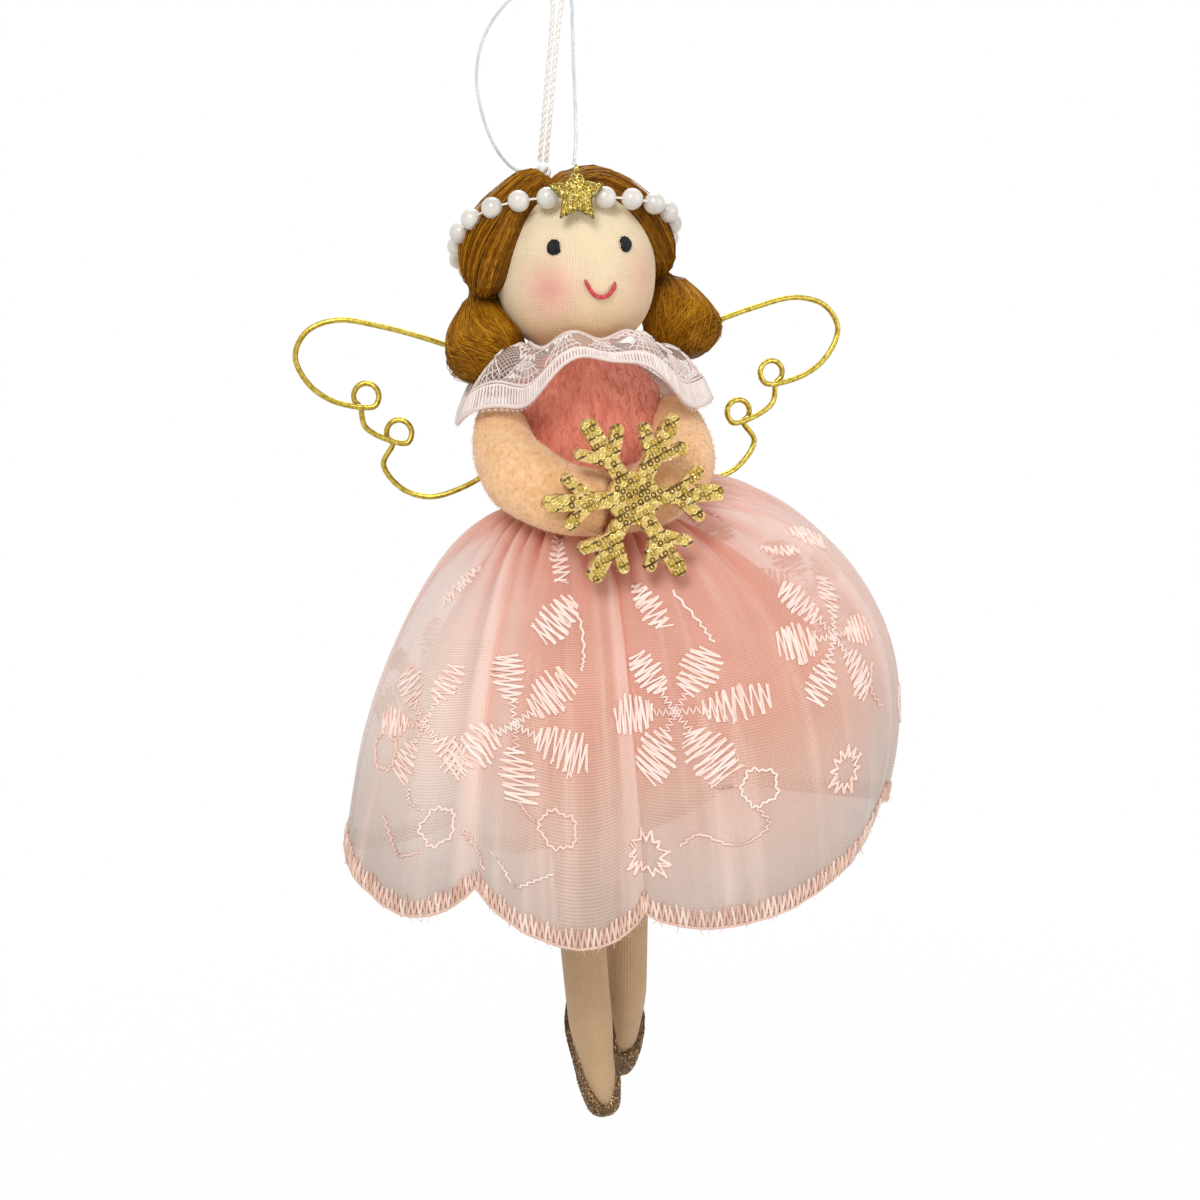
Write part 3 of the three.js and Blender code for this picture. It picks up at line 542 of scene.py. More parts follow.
# %% Surface helper
def surface(name, rows, material, wrap=True, caps=False, uvs=None, **attributes):
    """Faces over rows of points. Caps close both ends, and uvs gives millimetres by row and place."""
    width = len(rows[0])
    places = [place for row in rows for place in row]
    around = width if wrap else width - 1
    faces, corners = [], []
    for i in range(len(rows) - 1):
        for j in range(around):
            quad = ((i, j), (i, j + 1), (i + 1, j + 1), (i + 1, j))
            faces.append([r * width + c % width for r, c in quad])
            corners.append(quad)
    for row, order in ((0, -1), (len(rows) - 1, 1)):
        if caps:
            faces.append([row * width + j for j in range(width)][::order])
            corners.append(tuple((row, j) for j in range(width))[::order])
    mesh = bpy.data.meshes.new(name)
    mesh.from_pydata(places, [], faces)
    layer = mesh.uv_layers.new(name="cloth").data
    if uvs:
        layer.foreach_set("uv", [value for face in corners for corner in face for value in uvs(*corner)])
    for key, numbers in attributes.items():
        mesh.attributes.new(key, "FLOAT", "POINT").data.foreach_set("value", numbers)
    mesh.polygons.foreach_set("use_smooth", [True] * len(faces))
    mesh.materials.append(material)
    print(name, len(faces), "faces")
    return linked(name, mesh)


def outward(piece):
    """Turns the faces of a closed piece to the outside."""
    mesh = piece.data
    volume = 0.0
    for face in mesh.polygons:
        a, b, c = (mesh.vertices[face.vertices[k]].co - BALL for k in (0, 1, 2))
        volume += a.dot(b.cross(c)) * (len(face.vertices) - 2)
    if volume < 0:
        mesh.flip_normals()
    return piece


def rings_along(line, girths, sides):
    rows = []
    for place, girth, (across, aside) in zip(line, girths, frames_along(line)):
        turns = (2 * math.pi * j / sides for j in range(sides))
        rows.append([place + girth * (math.cos(t) * across + math.sin(t) * aside) for t in turns])
    return rows


def dress(piece, body, slot, *nodes):
    """Lets a piece ride on a body and stand for nodes, which it hides. The slot is not used."""
    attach(piece, body)
    if nodes:
        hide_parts(*nodes)
    return piece


# %% [markdown]
# ## The head
# On the real doll a foam ball is tied into knitted cloth, and the tied cloth below it is the neck. The
# knit is a bump on the UV map: wales run from the crown to the neck and courses run round. Rouge is
# rubbed on the cheeks with a finger, so it is a soft attribute on the points and not a hard-edged patch.
# A ball with a tube below it would do, but one turned outline gives the jaw and the neck without a seam.

# %% Head
HEAD_R, NECK_R = 15, 5.5
JAW_DEPTH, JAW_SQUARE = 16.5, 2.6  # stuffing fills the cover out below the ball
CHEEKS = ((-33, -19, 1.0), (42, -12, 0.6))  # longitude, latitude and strength of the rouge
ROUGE_R = 4.8


def face_width(z):
    """Radius of the head at a height: a ball above its middle, and squarer at the jaw."""
    if z >= 0:
        return math.sqrt(HEAD_R ** 2 - z ** 2)
    return HEAD_R * (1 - (-z / JAW_DEPTH) ** JAW_SQUARE) ** (1 / JAW_SQUARE)


def head_profile(steps):
    """Radius and height down the head, from the crown to the tied neck."""
    meets = math.asin((NECK_R / HEAD_R) ** (JAW_SQUARE / 2))
    profile = []
    for i in range(steps + 1):
        turn = 0.01 + (math.pi - meets - 0.01) * i / steps
        power = 1 if turn < math.pi / 2 else 2 / JAW_SQUARE
        deep = HEAD_R if turn < math.pi / 2 else -JAW_DEPTH
        profile.append((HEAD_R * math.sin(turn) ** power, deep * abs(math.cos(turn)) ** power))
    return profile + [(NECK_R, z) for z in (-16.8, -18, -19.5, -21, -23)]


def on_ball(radius, longitude, latitude):
    """A point on the head in millimetres, by degrees left of the doll's front and above its middle."""
    turn, rise = math.radians(longitude), math.radians(latitude)
    flat = face_width(HEAD_R * math.sin(rise)) + (radius - HEAD_R) * math.cos(rise)
    return Vector((flat * math.sin(turn), -flat * math.cos(turn), radius * math.sin(rise)))


def knit(name, colour, wale, course, depth):
    """A knitted cloth: small stitches on the UV map with painted shade between them, a faint mottle, and a
    soft sheen of loose fibre.
    """
    material, tree, shader = finish(name, 0.85, Sheen_Weight=0.25, Sheen_Roughness=0.5)
    u, v = cloth_uv(tree)
    wales = math_node(tree, "SINE", math_node(tree, "MULTIPLY", u, 2 * math.pi / wale))
    courses = math_node(tree, "SINE", math_node(tree, "MULTIPLY", v, 2 * math.pi / course))
    stitch = math_node(tree, "ADD", wales, math_node(tree, "MULTIPLY", courses, 0.8))
    lint = math_node(tree, "MULTIPLY", object_noise(tree, 2600, 4.0), 1.6)
    bumped(tree, shader, math_node(tree, "ADD", stitch, lint), 0.4, depth)
    # Darker between the stitches: painted shade.
    between = ranged(tree, stitch, -1.8, 1.2, 0.9, 1.0)
    mottle = ranged(tree, object_noise(tree, 300), 0.3, 0.7, 0.95, 1.03)
    tone = math_node(tree, "MULTIPLY", between, mottle)
    shaded = add(tree, "ShaderNodeVectorMath", {0: colour(tree), "Scale": tone}, operation="SCALE").outputs[0]
    tree.links.new(shaded, shader.inputs["Base Color"])
    return material


def shaded_face_colour(tree):
    low, high = BALL.z - HEAD_R * MM, BALL.z + HEAD_R * MM
    share = ranged(tree, object_height(tree), low, high)
    # Darker and warmer towards the chin: painted shade under the chin.
    skin = ramp(tree, share, (0.0, srgb(226, 186, 140)), (0.35, srgb(243, 222, 186)),
                (0.75, srgb(242, 224, 188)))
    return blended(tree, attribute(tree, "rouge"), skin, srgb(236, 172, 156))


def make_head():
    across = 96
    profile = head_profile(56)
    rows, rouge = [], []
    for radius, z in profile:
        turns = [2 * math.pi * j / across for j in range(across)]
        row = [Vector((radius * math.sin(t), radius * math.cos(t), z)) for t in turns]
        for place in row:
            near = [(place - on_ball(HEAD_R, *cheek[:2])).length for cheek in CHEEKS]
            rouge.append(sum(cheek[2] * math.exp(-(d / ROUGE_R) ** 2) for cheek, d in zip(CHEEKS, near)))
        rows.append([spot(*place) for place in row])
    lengths = [0.0]
    for (r0, z0), (r1, z1) in zip(profile, profile[1:]):
        lengths.append(lengths[-1] + math.hypot(r1 - r0, z1 - z0))
    skin = knit("face_knit", shaded_face_colour, 0.52, 0.44, 0.12 * MM)
    uvs = lambda i, j: ((2 * math.pi * j / across - math.pi) * HEAD_R, -lengths[i])
    head = outward(surface("head_knit", rows, skin, uvs=uvs, rouge=rouge))
    dress(head, "head", "knit_skin", "head_cover")
    return head


make_head()

# %% [markdown]
# The eyes are satin stitch: black thread laid side by side across an oval, each stitch a little longer or
# shorter than the last. The smile is stem stitch, short red stitches that overlap along a curve.

# %% Eyes and mouth
EYE_ACROSS, EYE_UP, EYE_STITCHES = 1.1, 1.3, 15
EYE_LONGITUDE, EYE_LATITUDE = {-1: 28, 1: 25}, 10.2
SMILE_ACROSS, SMILE_SAG, SMILE_TILT, SMILE_STITCHES = 5.4, 2.5, 0.35, 9
SMILE_LONGITUDE, SMILE_LATITUDE = 3.7, -15.9


def make_eye(side, hand, rng):
    middle = on_ball(HEAD_R, hand * EYE_LONGITUDE[hand], EYE_LATITUDE).normalized()
    aside = Vector((0, 0, 1)).cross(middle).normalized()
    up = middle.cross(aside)
    lines = []
    for layer in range(2):
        for k in range(EYE_STITCHES):
            across = EYE_ACROSS * (2 * (k + 0.5 * layer) / EYE_STITCHES - 1)
            oval = math.sqrt(max(0.04, 1 - (across / (EYE_ACROSS + 0.1)) ** 2))
            half = EYE_UP * oval + rng.uniform(-0.04, 0.16)
            slant = rng.uniform(-0.1, 0.1)
            line = []
            for step in range(7):
                t = step / 3 - 1
                lift = HEAD_R + 0.1 + (0.35 + 0.1 * layer) * math.sqrt(1.02 - t * t)
                place = middle * HEAD_R + aside * (across + slant * t) + up * (half * t)
                line.append(spot(*(place.normalized() * lift)))
            lines.append(line)
    eye = threads(f"eye_stitches_{side}", lines, 0.13 * MM, BLACK_THREAD, 6, [rng.random() for _ in lines])
    dress(eye, "head", "eye_thread", f"eye_{side}")


def smile_spot(across, lift):
    longitude = SMILE_LONGITUDE + math.degrees(across * SMILE_ACROSS / 2 / HEAD_R)
    drop = math.degrees((SMILE_SAG * (1 - abs(across) ** 2.5) + SMILE_TILT * across) / HEAD_R)
    return spot(*on_ball(HEAD_R + lift, longitude, SMILE_LATITUDE - drop))


def make_mouth():
    lines = []
    for k in range(SMILE_STITCHES):
        middle, half = (2 * k + 1) / SMILE_STITCHES - 1, 1.5 / SMILE_STITCHES
        steps = [step / 4 - 1 for step in range(9)]
        lines.append([smile_spot(middle + half * t, 0.12 + 0.38 * math.sqrt(1.02 - t * t)) for t in steps])
    bulge = lambda t: 0.55 + 0.45 * math.sin(math.pi * t)
    mouth = threads("mouth_stitches", lines, 0.42 * MM, RED_THREAD, 7, [0.3, 0.6] * 4 + [0.4], bulge)
    dress(mouth, "head", "mouth_thread", "mouth_stitch")


seeded = random.Random(5)
for side, hand in SIDES:
    make_eye(side, hand, seeded)
make_mouth()

# %% [markdown]
# ## Hair
# The wig is combed from a parting to two ties beside the ears, and each tail is tucked under into a soft
# bunch. Every strand runs along the same path function, from its place on the parting to the tie. A plain
# sheet along the same paths, a little lower, closes the gaps between strands, and its dark tone is painted
# shade. Hair could be combed by hand with Blender's brushes, but a formula repeats exactly.

# %% Hair on the crown
HAIR_RADII = (20, 17.8, 17.6)
PARTING_DEPTH, PARTING_WIDTH, PARTING_LIP = 2.4, 1.5, {-1: 0.9, 1: -1.5}
HAIRLINE, NAPE = math.radians(64), math.radians(208)  # ends of the parting, from the front over the crown
TIES = {-1: Vector((-17.8, 5.2, -4.9)), 1: Vector((18.6, 5.5, -6.6))}
TIE_R = 3.1
HAIR_ASIDE = {-1: 1.3, 1: 1.8}  # the combed hair falls to the doll's right of the ball
SLOPE = math.radians(22)
HANGS = Vector((0, -math.sin(SLOPE), -math.cos(SLOPE)))
FORWARD = Vector((0, -math.cos(SLOPE), math.sin(SLOPE)))
STRANDS = 2500
FRONT_HAIR = {  # the edge of the hair on each side of the face, from the parting to the tie
    -1: ((-2.6, -6, 13.4), (-6.4, -6.7, 11.8), (-8.7, -7.3, 9.8), (-10.9, -7.8, 6.3), (-13.4, -6, 0.3),
         (-14.3, -3.2, -2.8), (-15.2, 1.6, -4.4)),
    1: ((-2.6, -6, 13.4), (2.6, -7.4, 12.8), (6.9, -7.7, 10.5), (10.6, -8, 6.3), (13.4, -6.2, 0.3),
        (14.4, -3, -2.8), (15.6, 1.4, -4.8)),
}


def front_edge(hand):
    """Directions along the edge of the hair, from the parting to the tie."""
    tie = TIES[hand] - Vector((hand * 3, 1, 0))
    return [p.normalized() for p in even(through([*(Vector(p) for p in FRONT_HAIR[hand]), tie]), 65)]


FRONT_EDGE = {hand: front_edge(hand) for hand in (-1, 1)}


def smoothstep(low, high, value):
    share = min(1.0, max(0.0, (value - low) / (high - low)))
    return share * share * (3 - 2 * share)


def rounded(share):
    share = min(1.0, max(0.0, share))
    return math.sqrt(1 - (1 - share) ** 2)


def skin_reach(way):
    """How far the head's cover lies from the middle of the ball: further out towards the jaw."""
    return HEAD_R * (1 + 0.25 * max(0.0, -way.z) ** 1.6)


def hair_spot(hand, along, share, rise):
    """A point of the combed hair: along the parting from brow to nape, and a share of the way to the tie."""
    turn = HAIRLINE + (NAPE - HAIRLINE) * along
    start = Vector((-PARTING_ASIDE / HEAD_R, -math.cos(turn), math.sin(turn))).normalized()
    tie = TIES[hand]
    end = tie.normalized()
    outwards = Vector((0.4 * hand, 0.1 * along - 0.35 * (1 - along), 0.25 * (1 - along)))
    bow = (start + end + outwards).normalized()
    way = start.lerp(bow, share).lerp(bow.lerp(end, share), share).normalized()
    edge_way = FRONT_EDGE[hand][round(64 * share)]
    way = way.lerp(edge_way, (1 - along) ** 4).normalized()
    shell = 1 / math.sqrt(sum((a / b) ** 2 for a, b in zip(way, HAIR_RADII)))
    edge = min(rounded(along / 0.12), rounded((1 - along) / 0.08))
    edge = edge + (1 - edge) * share ** 4
    skin = skin_reach(way) + 0.15
    length = skin + (shell - skin) * edge + rise
    from_parting = abs(shell * way.x + PARTING_ASIDE)
    length -= PARTING_DEPTH * math.exp(-(from_parting / PARTING_WIDTH) ** 2) * edge
    length += PARTING_LIP[hand] * math.exp(-((from_parting - 4) / 3) ** 2) * edge
    round_tie = math.radians(-105 + 290 * along)
    gathered = tie + TIE_R * (math.cos(round_tie) * FORWARD + math.sin(round_tie) * Vector((hand, 0, 0)))
    aside = Vector((-HAIR_ASIDE[hand] * math.sin(math.pi * share), 0, 0))
    place = (way * length + aside).lerp(gathered, smoothstep(0.76, 1.0, share))
    return crown_spot(*place)


def comb(hand, rng):
    lines, tones = [], []
    for _ in range(STRANDS):
        along = rng.random() ** 1.25
        clump = noise.noise((along * 26, 3.1 * hand, 0.5))
        lift = rng.uniform(-0.2, 0.25)
        rise = 0.12 + 0.3 * clump + lift
        drift = rng.gauss(0, 0.03)
        if rng.random() < 0.04:
            rise += rng.uniform(0.2, 0.8)
        first, last = rng.choice(((0, 1), (0, 1), (0, 0.8), (0.12, 1), (0.3, 1)))
        line = []
        for k in range(13):
            share = first + (last - first) * k / 12
            wander = drift * math.sin(math.pi * share)
            wander += 0.012 * noise.noise((along * 60, share * 4, hand + 3 * lift))
            height = rise * math.sin(math.pi * min(1, share + 0.06))
            line.append(hair_spot(hand, min(1, max(0, along + wander)), share, height))
        lines.append(line)
        # The tone is partly painted shade: strands that lie lower are darker, and strands near the front edge
        # by the face darker still. The rest is random.
        tone = 0.47 + 0.28 * clump + 0.6 * lift + rng.gauss(0, 0.17)
        tones.append(min(1, max(0, tone - 0.3 * smoothstep(0.16, 0.0, along))))
    return lines, tones


def onto_skin(place):
    """The point of the head's cover under a point of the hair."""
    way = (place - BALL).normalized()
    return BALL + way * (skin_reach(way) - 0.5) * MM


def hair_base(name, rows, **form):
    """Plain hair below the strands, painted dark as the shade between them."""
    count = len(rows) * len(rows[0])
    return surface(name, rows, HAIR, tone=[0.15] * count, along=[0.5] * count, **form)


def make_hair(side, hand, rng):
    rows = [[hair_spot(hand, i / 60, k / 24, -0.35) for k in range(25)] for i in range(61)]
    sheet = hair_base(f"hair_base_{side}", [[onto_skin(place) for place in rows[0]], *rows], wrap=False)
    dress(sheet, "head", "hair")
    lines, tones = comb(hand, rng)
    slim = lambda t: 0.75 + 0.25 * math.sin(math.pi * t)
    strands = threads(f"hair_strands_{side}", lines, 0.1 * MM, HAIR, 3, tones, slim)
    dress(strands, "head", "hair", "hair_cap")


# %% [markdown]
# Each bunch is a tail of the same fibre, rolled under and held by an elastic band. One smooth solid would
# look like clay, so it is strands again: most fall, some wrap round the foot, and a few stray.

# %% Bunches
BUNCH_BELLY, BUNCH_FULLEST = {-1: 6.9, 1: 7.0}, 0.55
BUNCH_FOOT = {-1: (1.9, 16), 1: (1.7, 15.2)}  # how far each bunch hangs outwards and how long it is
BUNCH_STRANDS, BUNCH_WRAPS, BUNCH_STRAYS = 1500, 800, 70


def bunch_spot(hand, turn, share, rise):
    """A point on the bunch: round its axis and from the tie to its foot."""
    tie = TIES[hand]
    spread, length = BUNCH_FOOT[hand]
    neck, belly = TIE_R + 0.3, BUNCH_BELLY[hand]
    axis_end = tie + HANGS * length + Vector((hand * spread, 0, 0))
    if share < BUNCH_FULLEST:
        girth = neck + (belly - neck) * math.sin(math.pi / 2 * share / BUNCH_FULLEST) ** 1.2
    else:
        from_fullest = (share - BUNCH_FULLEST) / (1.02 - BUNCH_FULLEST)
        girth = belly * math.sqrt(max(0.0, 1 - from_fullest ** 2))
    lumps = noise.noise((1.3 * math.cos(turn), 1.3 * math.sin(turn), 2.2 * share + 9 * hand))
    girth = girth * (1 + 0.16 * lumps) + rise * min(1, 6 * (1 - share))
    out = math.cos(turn) * Vector((hand, 0, 0)) + math.sin(turn) * FORWARD
    return crown_spot(*(tie.lerp(axis_end, share) + girth * out))


def bunch_lines(hand, rng):
    """Strands that fall from the tie and swirl, strands that wrap round the foot, and strays."""
    lines, tones = [], []
    for number in range(BUNCH_STRANDS + BUNCH_WRAPS + BUNCH_STRAYS):
        turn = rng.uniform(0, 2 * math.pi)
        clump = noise.noise((2.6 * math.cos(turn), 2.6 * math.sin(turn), 7 * hand))
        lift, stray = rng.uniform(-0.3, 0.35), 0.0
        rise = 0.1 + 0.35 * clump + lift
        swirl, first, last = rng.gauss(0.7, 0.3), rng.uniform(0, 0.15), rng.uniform(0.8, 1.0)
        if number >= BUNCH_STRANDS:
            swirl, first = rng.gauss(1.9, 0.4), rng.uniform(0.2, 0.6)
        if number >= BUNCH_STRANDS + BUNCH_WRAPS:
            swirl, first, stray = rng.gauss(0.8, 0.6), rng.uniform(0.1, 0.5), rng.uniform(0.4, 1.5)
        wave, line = rng.uniform(0, 6.28), []
        for k in range(14):
            t = k / 13
            share = first + (last - first) * t
            wander = 0.05 * math.sin(5 * t + wave)
            height = rise * math.sin(math.pi * min(1, t + 0.1)) + stray * t * t
            line.append(bunch_spot(hand, turn + swirl * t * t + wander, share, height))
        lines.append(line)
        # The tone is partly painted shade: strands that lie lower are darker. The rest is random.
        tones.append(min(1, max(0, 0.42 + 0.3 * clump + 0.5 * lift + rng.gauss(0, 0.16))))
    return lines, tones


def make_bunch(side, hand, rng):
    rows = [[bunch_spot(hand, 2 * math.pi * j / 40, i / 24, -0.35) for j in range(40)] for i in range(25)]
    core = hair_base(f"bunch_base_{side}", rows, caps=True)
    dress(outward(core), "head", "hair")
    lines, tones = bunch_lines(hand, rng)
    slim = lambda t: 0.4 + 0.6 * math.sin(math.pi * t)
    bunch = threads(f"bunch_strands_{side}", lines, 0.085 * MM, HAIR, 3, tones, slim)
    dress(bunch, "head", "hair", f"hair_bunch_{side}")


def clear_rubber():
    material, tree, shader = finish("clear_rubber", 0.3, Transmission_Weight=0.4)
    pale = ramp(tree, object_noise(tree, 800), (0.3, srgb(150, 112, 52)), (0.7, srgb(196, 156, 92)))
    tree.links.new(pale, shader.inputs["Base Color"])
    return material


def make_tie(side, hand, material):
    """An elastic band, wound twice round the neck of the bunch."""
    tie = TIES[hand] + HANGS * 1.15
    line = []
    for k in range(65):
        turn = 4 * math.pi * k / 64
        out = math.cos(turn) * Vector((1, 0, 0)) + math.sin(turn) * FORWARD
        line.append(crown_spot(*(tie + (TIE_R + 0.5) * out + HANGS * (k / 64 - 0.5))))
    band = threads(f"hair_band_{side}", [line], 0.3 * MM, material, 8)
    dress(band, "head", "elastic", f"hair_tie_{side}")


seeded = random.Random(11)
rubber = clear_rubber()
for side, hand in SIDES:
    make_hair(side, hand, seeded)
    make_bunch(side, hand, seeded)
    make_tie(side, hand, rubber)

# %% [markdown]
# ## The circlet
# Twenty-two pearl beads are threaded on a string round the hair, and a glitter star covers the join. The
# beads are one sphere, set at each point of a line by Geometry Nodes and turned to the string. Copies by
# hand would do for so few, but the tree keeps their count and their size in one place.

# %% Pearls
PEARLS, PEARL_R = 22, 2
CIRCLET_FRONT = Vector((0, -13.02, 11.4))
CIRCLET_BACK = Vector((0, 17.34, -4.0))
CIRCLET_HALF = {-1: 21.8, 1: 18.2}  # half its width, on each side of the doll
CIRCLET_SAG = {-1: 1.2, 1: -2.4}  # it hangs lower on the doll's right and higher on its left
CIRCLET_SQUARE = {-1: 0.76, 1: 0.9}  # under one, the loop is squarer than an oval
CIRCLET_TURN = Quaternion((0, 1, 0), math.radians(2)) @ Quaternion((0, 0, 1), math.radians(-12))


def brow_spot(x, y, z):
    """A point of the circlet, which is turned to the doll's right and tilted a little."""
    return spot(*(CIRCLET_TURN @ Vector((x, y, z))))


def circlet_line(count):
    middle = CIRCLET_FRONT.lerp(CIRCLET_BACK, 0.5)
    loop = []
    for k in range(361):
        turn = math.radians(k)
        hand = 1 if turn < math.pi else -1
        across = hand * abs(math.sin(turn)) ** CIRCLET_SQUARE[hand]
        ahead = math.copysign(abs(math.cos(turn)) ** CIRCLET_SQUARE[hand], math.cos(turn))
        place = middle.lerp(CIRCLET_FRONT, ahead)
        lower = CIRCLET_SAG[hand] * math.sin(turn) ** 2
        loop.append(brow_spot(CIRCLET_HALF[hand] * across, place.y, place.z - lower))
    return even(loop, count)


def pearl_tree():
    inputs = {"Line": "Geometry", "Radius": "Float", "Material": "Material"}
    tree, start = geometry_tree("pearls", "Pearls", **inputs)
    bead = add(tree, "GeometryNodeMeshUVSphere", {"Segments": 28, "Rings": 18, "Radius": start["Radius"]})
    axis = add(tree, "GeometryNodeInputNamedAttribute", {"Name": "axis"}, data_type="FLOAT_VECTOR")
    turned = add(tree, "FunctionNodeAlignRotationToVector", {"Vector": axis.outputs["Attribute"]}, axis="Z")
    sockets = {"Points": start["Line"], "Instance": bead.outputs["Mesh"], "Rotation": turned.outputs[0]}
    beads = add(tree, "GeometryNodeInstanceOnPoints", sockets)
    real = add(tree, "GeometryNodeRealizeInstances", {"Geometry": beads.outputs[0]})
    smooth = add(tree, "GeometryNodeSetShadeSmooth", {"Geometry": real.outputs[0]})
    return ended(tree, start, smooth.outputs[0])


def pearl_lustre():
    material, tree, shader = finish("pearl_lustre", 0.24, Coat_Weight=0.5, Coat_Roughness=0.08, IOR=1.6)
    cloud = object_noise(tree, 220, 2.0)
    nacre = ramp(tree, cloud, (0.3, srgb(196, 191, 186)), (0.5, srgb(213, 209, 203)),
                 (0.7, srgb(225, 221, 212)))
    tree.links.new(nacre, shader.inputs["Base Color"])
    return material


def make_pearls():
    stations = circlet_line(PEARLS + 2)
    loop = circlet_line(400)
    mesh = bpy.data.meshes.new("pearl_string")
    mesh.from_pydata(stations[1:-1], [], [])
    axes = [(after - before).normalized() for before, after in zip(stations, stations[2:])]
    numbers = [value for axis in axes for value in axis]
    mesh.attributes.new("axis", "FLOAT_VECTOR", "POINT").data.foreach_set("vector", numbers)
    pearls = grown(linked("pearls", mesh), pearl_tree(), Radius=PEARL_R * MM, Material=pearl_lustre())
    dress(pearls, "head", "pearl", *(f"pearl_{i + 1:02}" for i in range(PEARLS)))
    string = threads("pearl_thread", plies(loop[8:-8], 2, 0.12 * MM, 1.1 * MM), 0.15 * MM, WHITE_THREAD, 5)
    dress(string, "head", "thread", "circlet_string")
    print("pearls", len(pearls.data.polygons), "faces")


make_pearls()

# %% [markdown]
# Glitter is thousands of tiny flat flakes in glue. Geometry Nodes scatters them over a plain form, turns
# each a little off the surface, and gives each a tone, so that some catch the light and some stay dark. A
# sparkling texture would be lighter, but only real flakes glint as the doll turns.

# %% Glitter
def glitter_tree():
    inputs = {"Form": "Geometry", "Density": "Float", "Flake": "Float", "Tilt": "Float",
              "Material": "Material"}
    tree, start = geometry_tree("glitter", "Glitter", **inputs)
    sockets = {"Mesh": start["Form"], "Density": start["Density"], "Seed": 3}
    sown = add(tree, "GeometryNodeDistributePointsOnFaces", sockets, distribute_method="RANDOM")
    flake = add(tree, "GeometryNodeMeshCircle", {"Vertices": 6, "Radius": start["Flake"]}, fill_type="NGON")
    low = math_node(tree, "MULTIPLY", start["Tilt"], -1.0)
    spread = add(tree, "ShaderNodeCombineXYZ", {0: start["Tilt"], 1: start["Tilt"], 2: 3.1}).outputs[0]
    below = add(tree, "ShaderNodeCombineXYZ", {0: low, 1: low, 2: 0.0}).outputs[0]
    lean = add(tree, "FunctionNodeRandomValue", {0: below, 1: spread, "Seed": 5}, data_type="FLOAT_VECTOR")
    sockets = {"Rotation": sown.outputs["Rotation"], "Rotate By": lean.outputs[0]}
    turned = add(tree, "FunctionNodeRotateRotation", sockets, rotation_space="LOCAL")
    size = add(tree, "FunctionNodeRandomValue", {2: 0.55, 3: 1.0, "Seed": 7}, data_type="FLOAT").outputs[1]
    sockets = {"Points": sown.outputs["Points"], "Instance": flake.outputs["Mesh"],
               "Rotation": turned.outputs[0], "Scale": size}
    laid = add(tree, "GeometryNodeInstanceOnPoints", sockets)
    tone = add(tree, "FunctionNodeRandomValue", {2: 0.0, 3: 1.0, "Seed": 9}, data_type="FLOAT").outputs[1]
    sockets = {"Geometry": laid.outputs[0], "Name": "tone", "Value": tone}
    toned = add(tree, "GeometryNodeStoreNamedAttribute", sockets, data_type="FLOAT", domain="INSTANCE")
    real = add(tree, "GeometryNodeRealizeInstances", {"Geometry": toned.outputs[0]})
    return ended(tree, start, real.outputs[0])


GLITTER = glitter_tree()


def glittered(name, form, density, flake, tilt, material):
    piece = linked(name, form.data.copy())
    grown(piece, GLITTER, Density=density, Flake=flake, Tilt=tilt, Material=material)
    print(name, len(piece.data.polygons), "flakes")
    return piece


def flake_finish(name, dark, middle, light, metallic):
    material, tree, shader = finish(name, 0.3, Metallic=metallic)
    colour = ramp(tree, attribute(tree, "tone"), (0.1, dark), (0.55, middle), (0.95, light))
    tree.links.new(colour, shader.inputs["Base Color"])
    return material


def glue_finish(name, dark, light):
    """The glue bed under the flakes, grainy and a little shiny."""
    material, tree, shader = finish(name, 0.45)
    grain = object_noise(tree, 1500, 4.0)
    tree.links.new(ramp(tree, grain, (0.3, dark), (0.7, light)), shader.inputs["Base Color"])
    bumped(tree, shader, grain, 0.7, 0.15 * MM)
    return material


GOLD_FLAKE = flake_finish("gold_flake", srgb(104, 84, 14), srgb(190, 162, 46), srgb(252, 240, 150), 0.75)

# %% [markdown]
# The star is cut from thick foam. A flat outline with a bevel would have sharp tips, so a few outlines,
# each higher and most of them smaller than the last, give it a rounded front.

# %% Star
STAR_TIP, STAR_NOTCH, STAR_PROUD = 5.2, 2.7, 1.4
STAR_TILT, STAR_TALLER = math.radians(72), 1.07
STAR_LAYERS = (  # height, and share of the outline
    (0.0, 0.96), (0.25, 1.0), (0.9, 0.98), (1.3, 0.9), (1.55, 0.72), (1.7, 0.3),
)


def make_star():
    faces = Vector((0, -math.sin(STAR_TILT), math.cos(STAR_TILT)))
    up = Vector((0, math.cos(STAR_TILT), math.sin(STAR_TILT))) * STAR_TALLER
    seat = CIRCLET_FRONT + STAR_PROUD * faces - 0.1 * up
    rows = []
    for height, share in STAR_LAYERS:
        row = []
        for k in range(50):
            between = (k % 5) / 5
            ends = (STAR_TIP, STAR_NOTCH) if (k // 5) % 2 == 0 else (STAR_NOTCH, STAR_TIP)
            corner = (2 * math.pi / 10) * (k // 5) + math.pi / 2
            first = Vector((math.cos(corner), math.sin(corner))) * ends[0]
            second = Vector((math.cos(corner + math.pi / 5), math.sin(corner + math.pi / 5))) * ends[1]
            edge = first.lerp(second, between) * share
            row.append(brow_spot(*(seat + Vector((edge.x, 0, 0)) + up * edge.y + faces * height)))
        rows.append(row)
    bed = glue_finish("gold_bed", srgb(150, 112, 40), srgb(196, 158, 76))
    star = outward(surface("star_form", rows, bed, caps=True))
    dress(star, "head", "glitter_gold", "forehead_star")
    sparkle = glittered("star_glitter", star, 24e6, 0.26 * MM, 0.5, GOLD_FLAKE)
    dress(sparkle, "head", "glitter_gold")


make_star()

# %% [markdown]
# ## Felt, fleece and the bodice
# Felt and fleece look soft because short fibres stand off the surface. The form itself is smooth with a
# mottled bump, and a second piece adds a few thousand short hairs along a given direction.

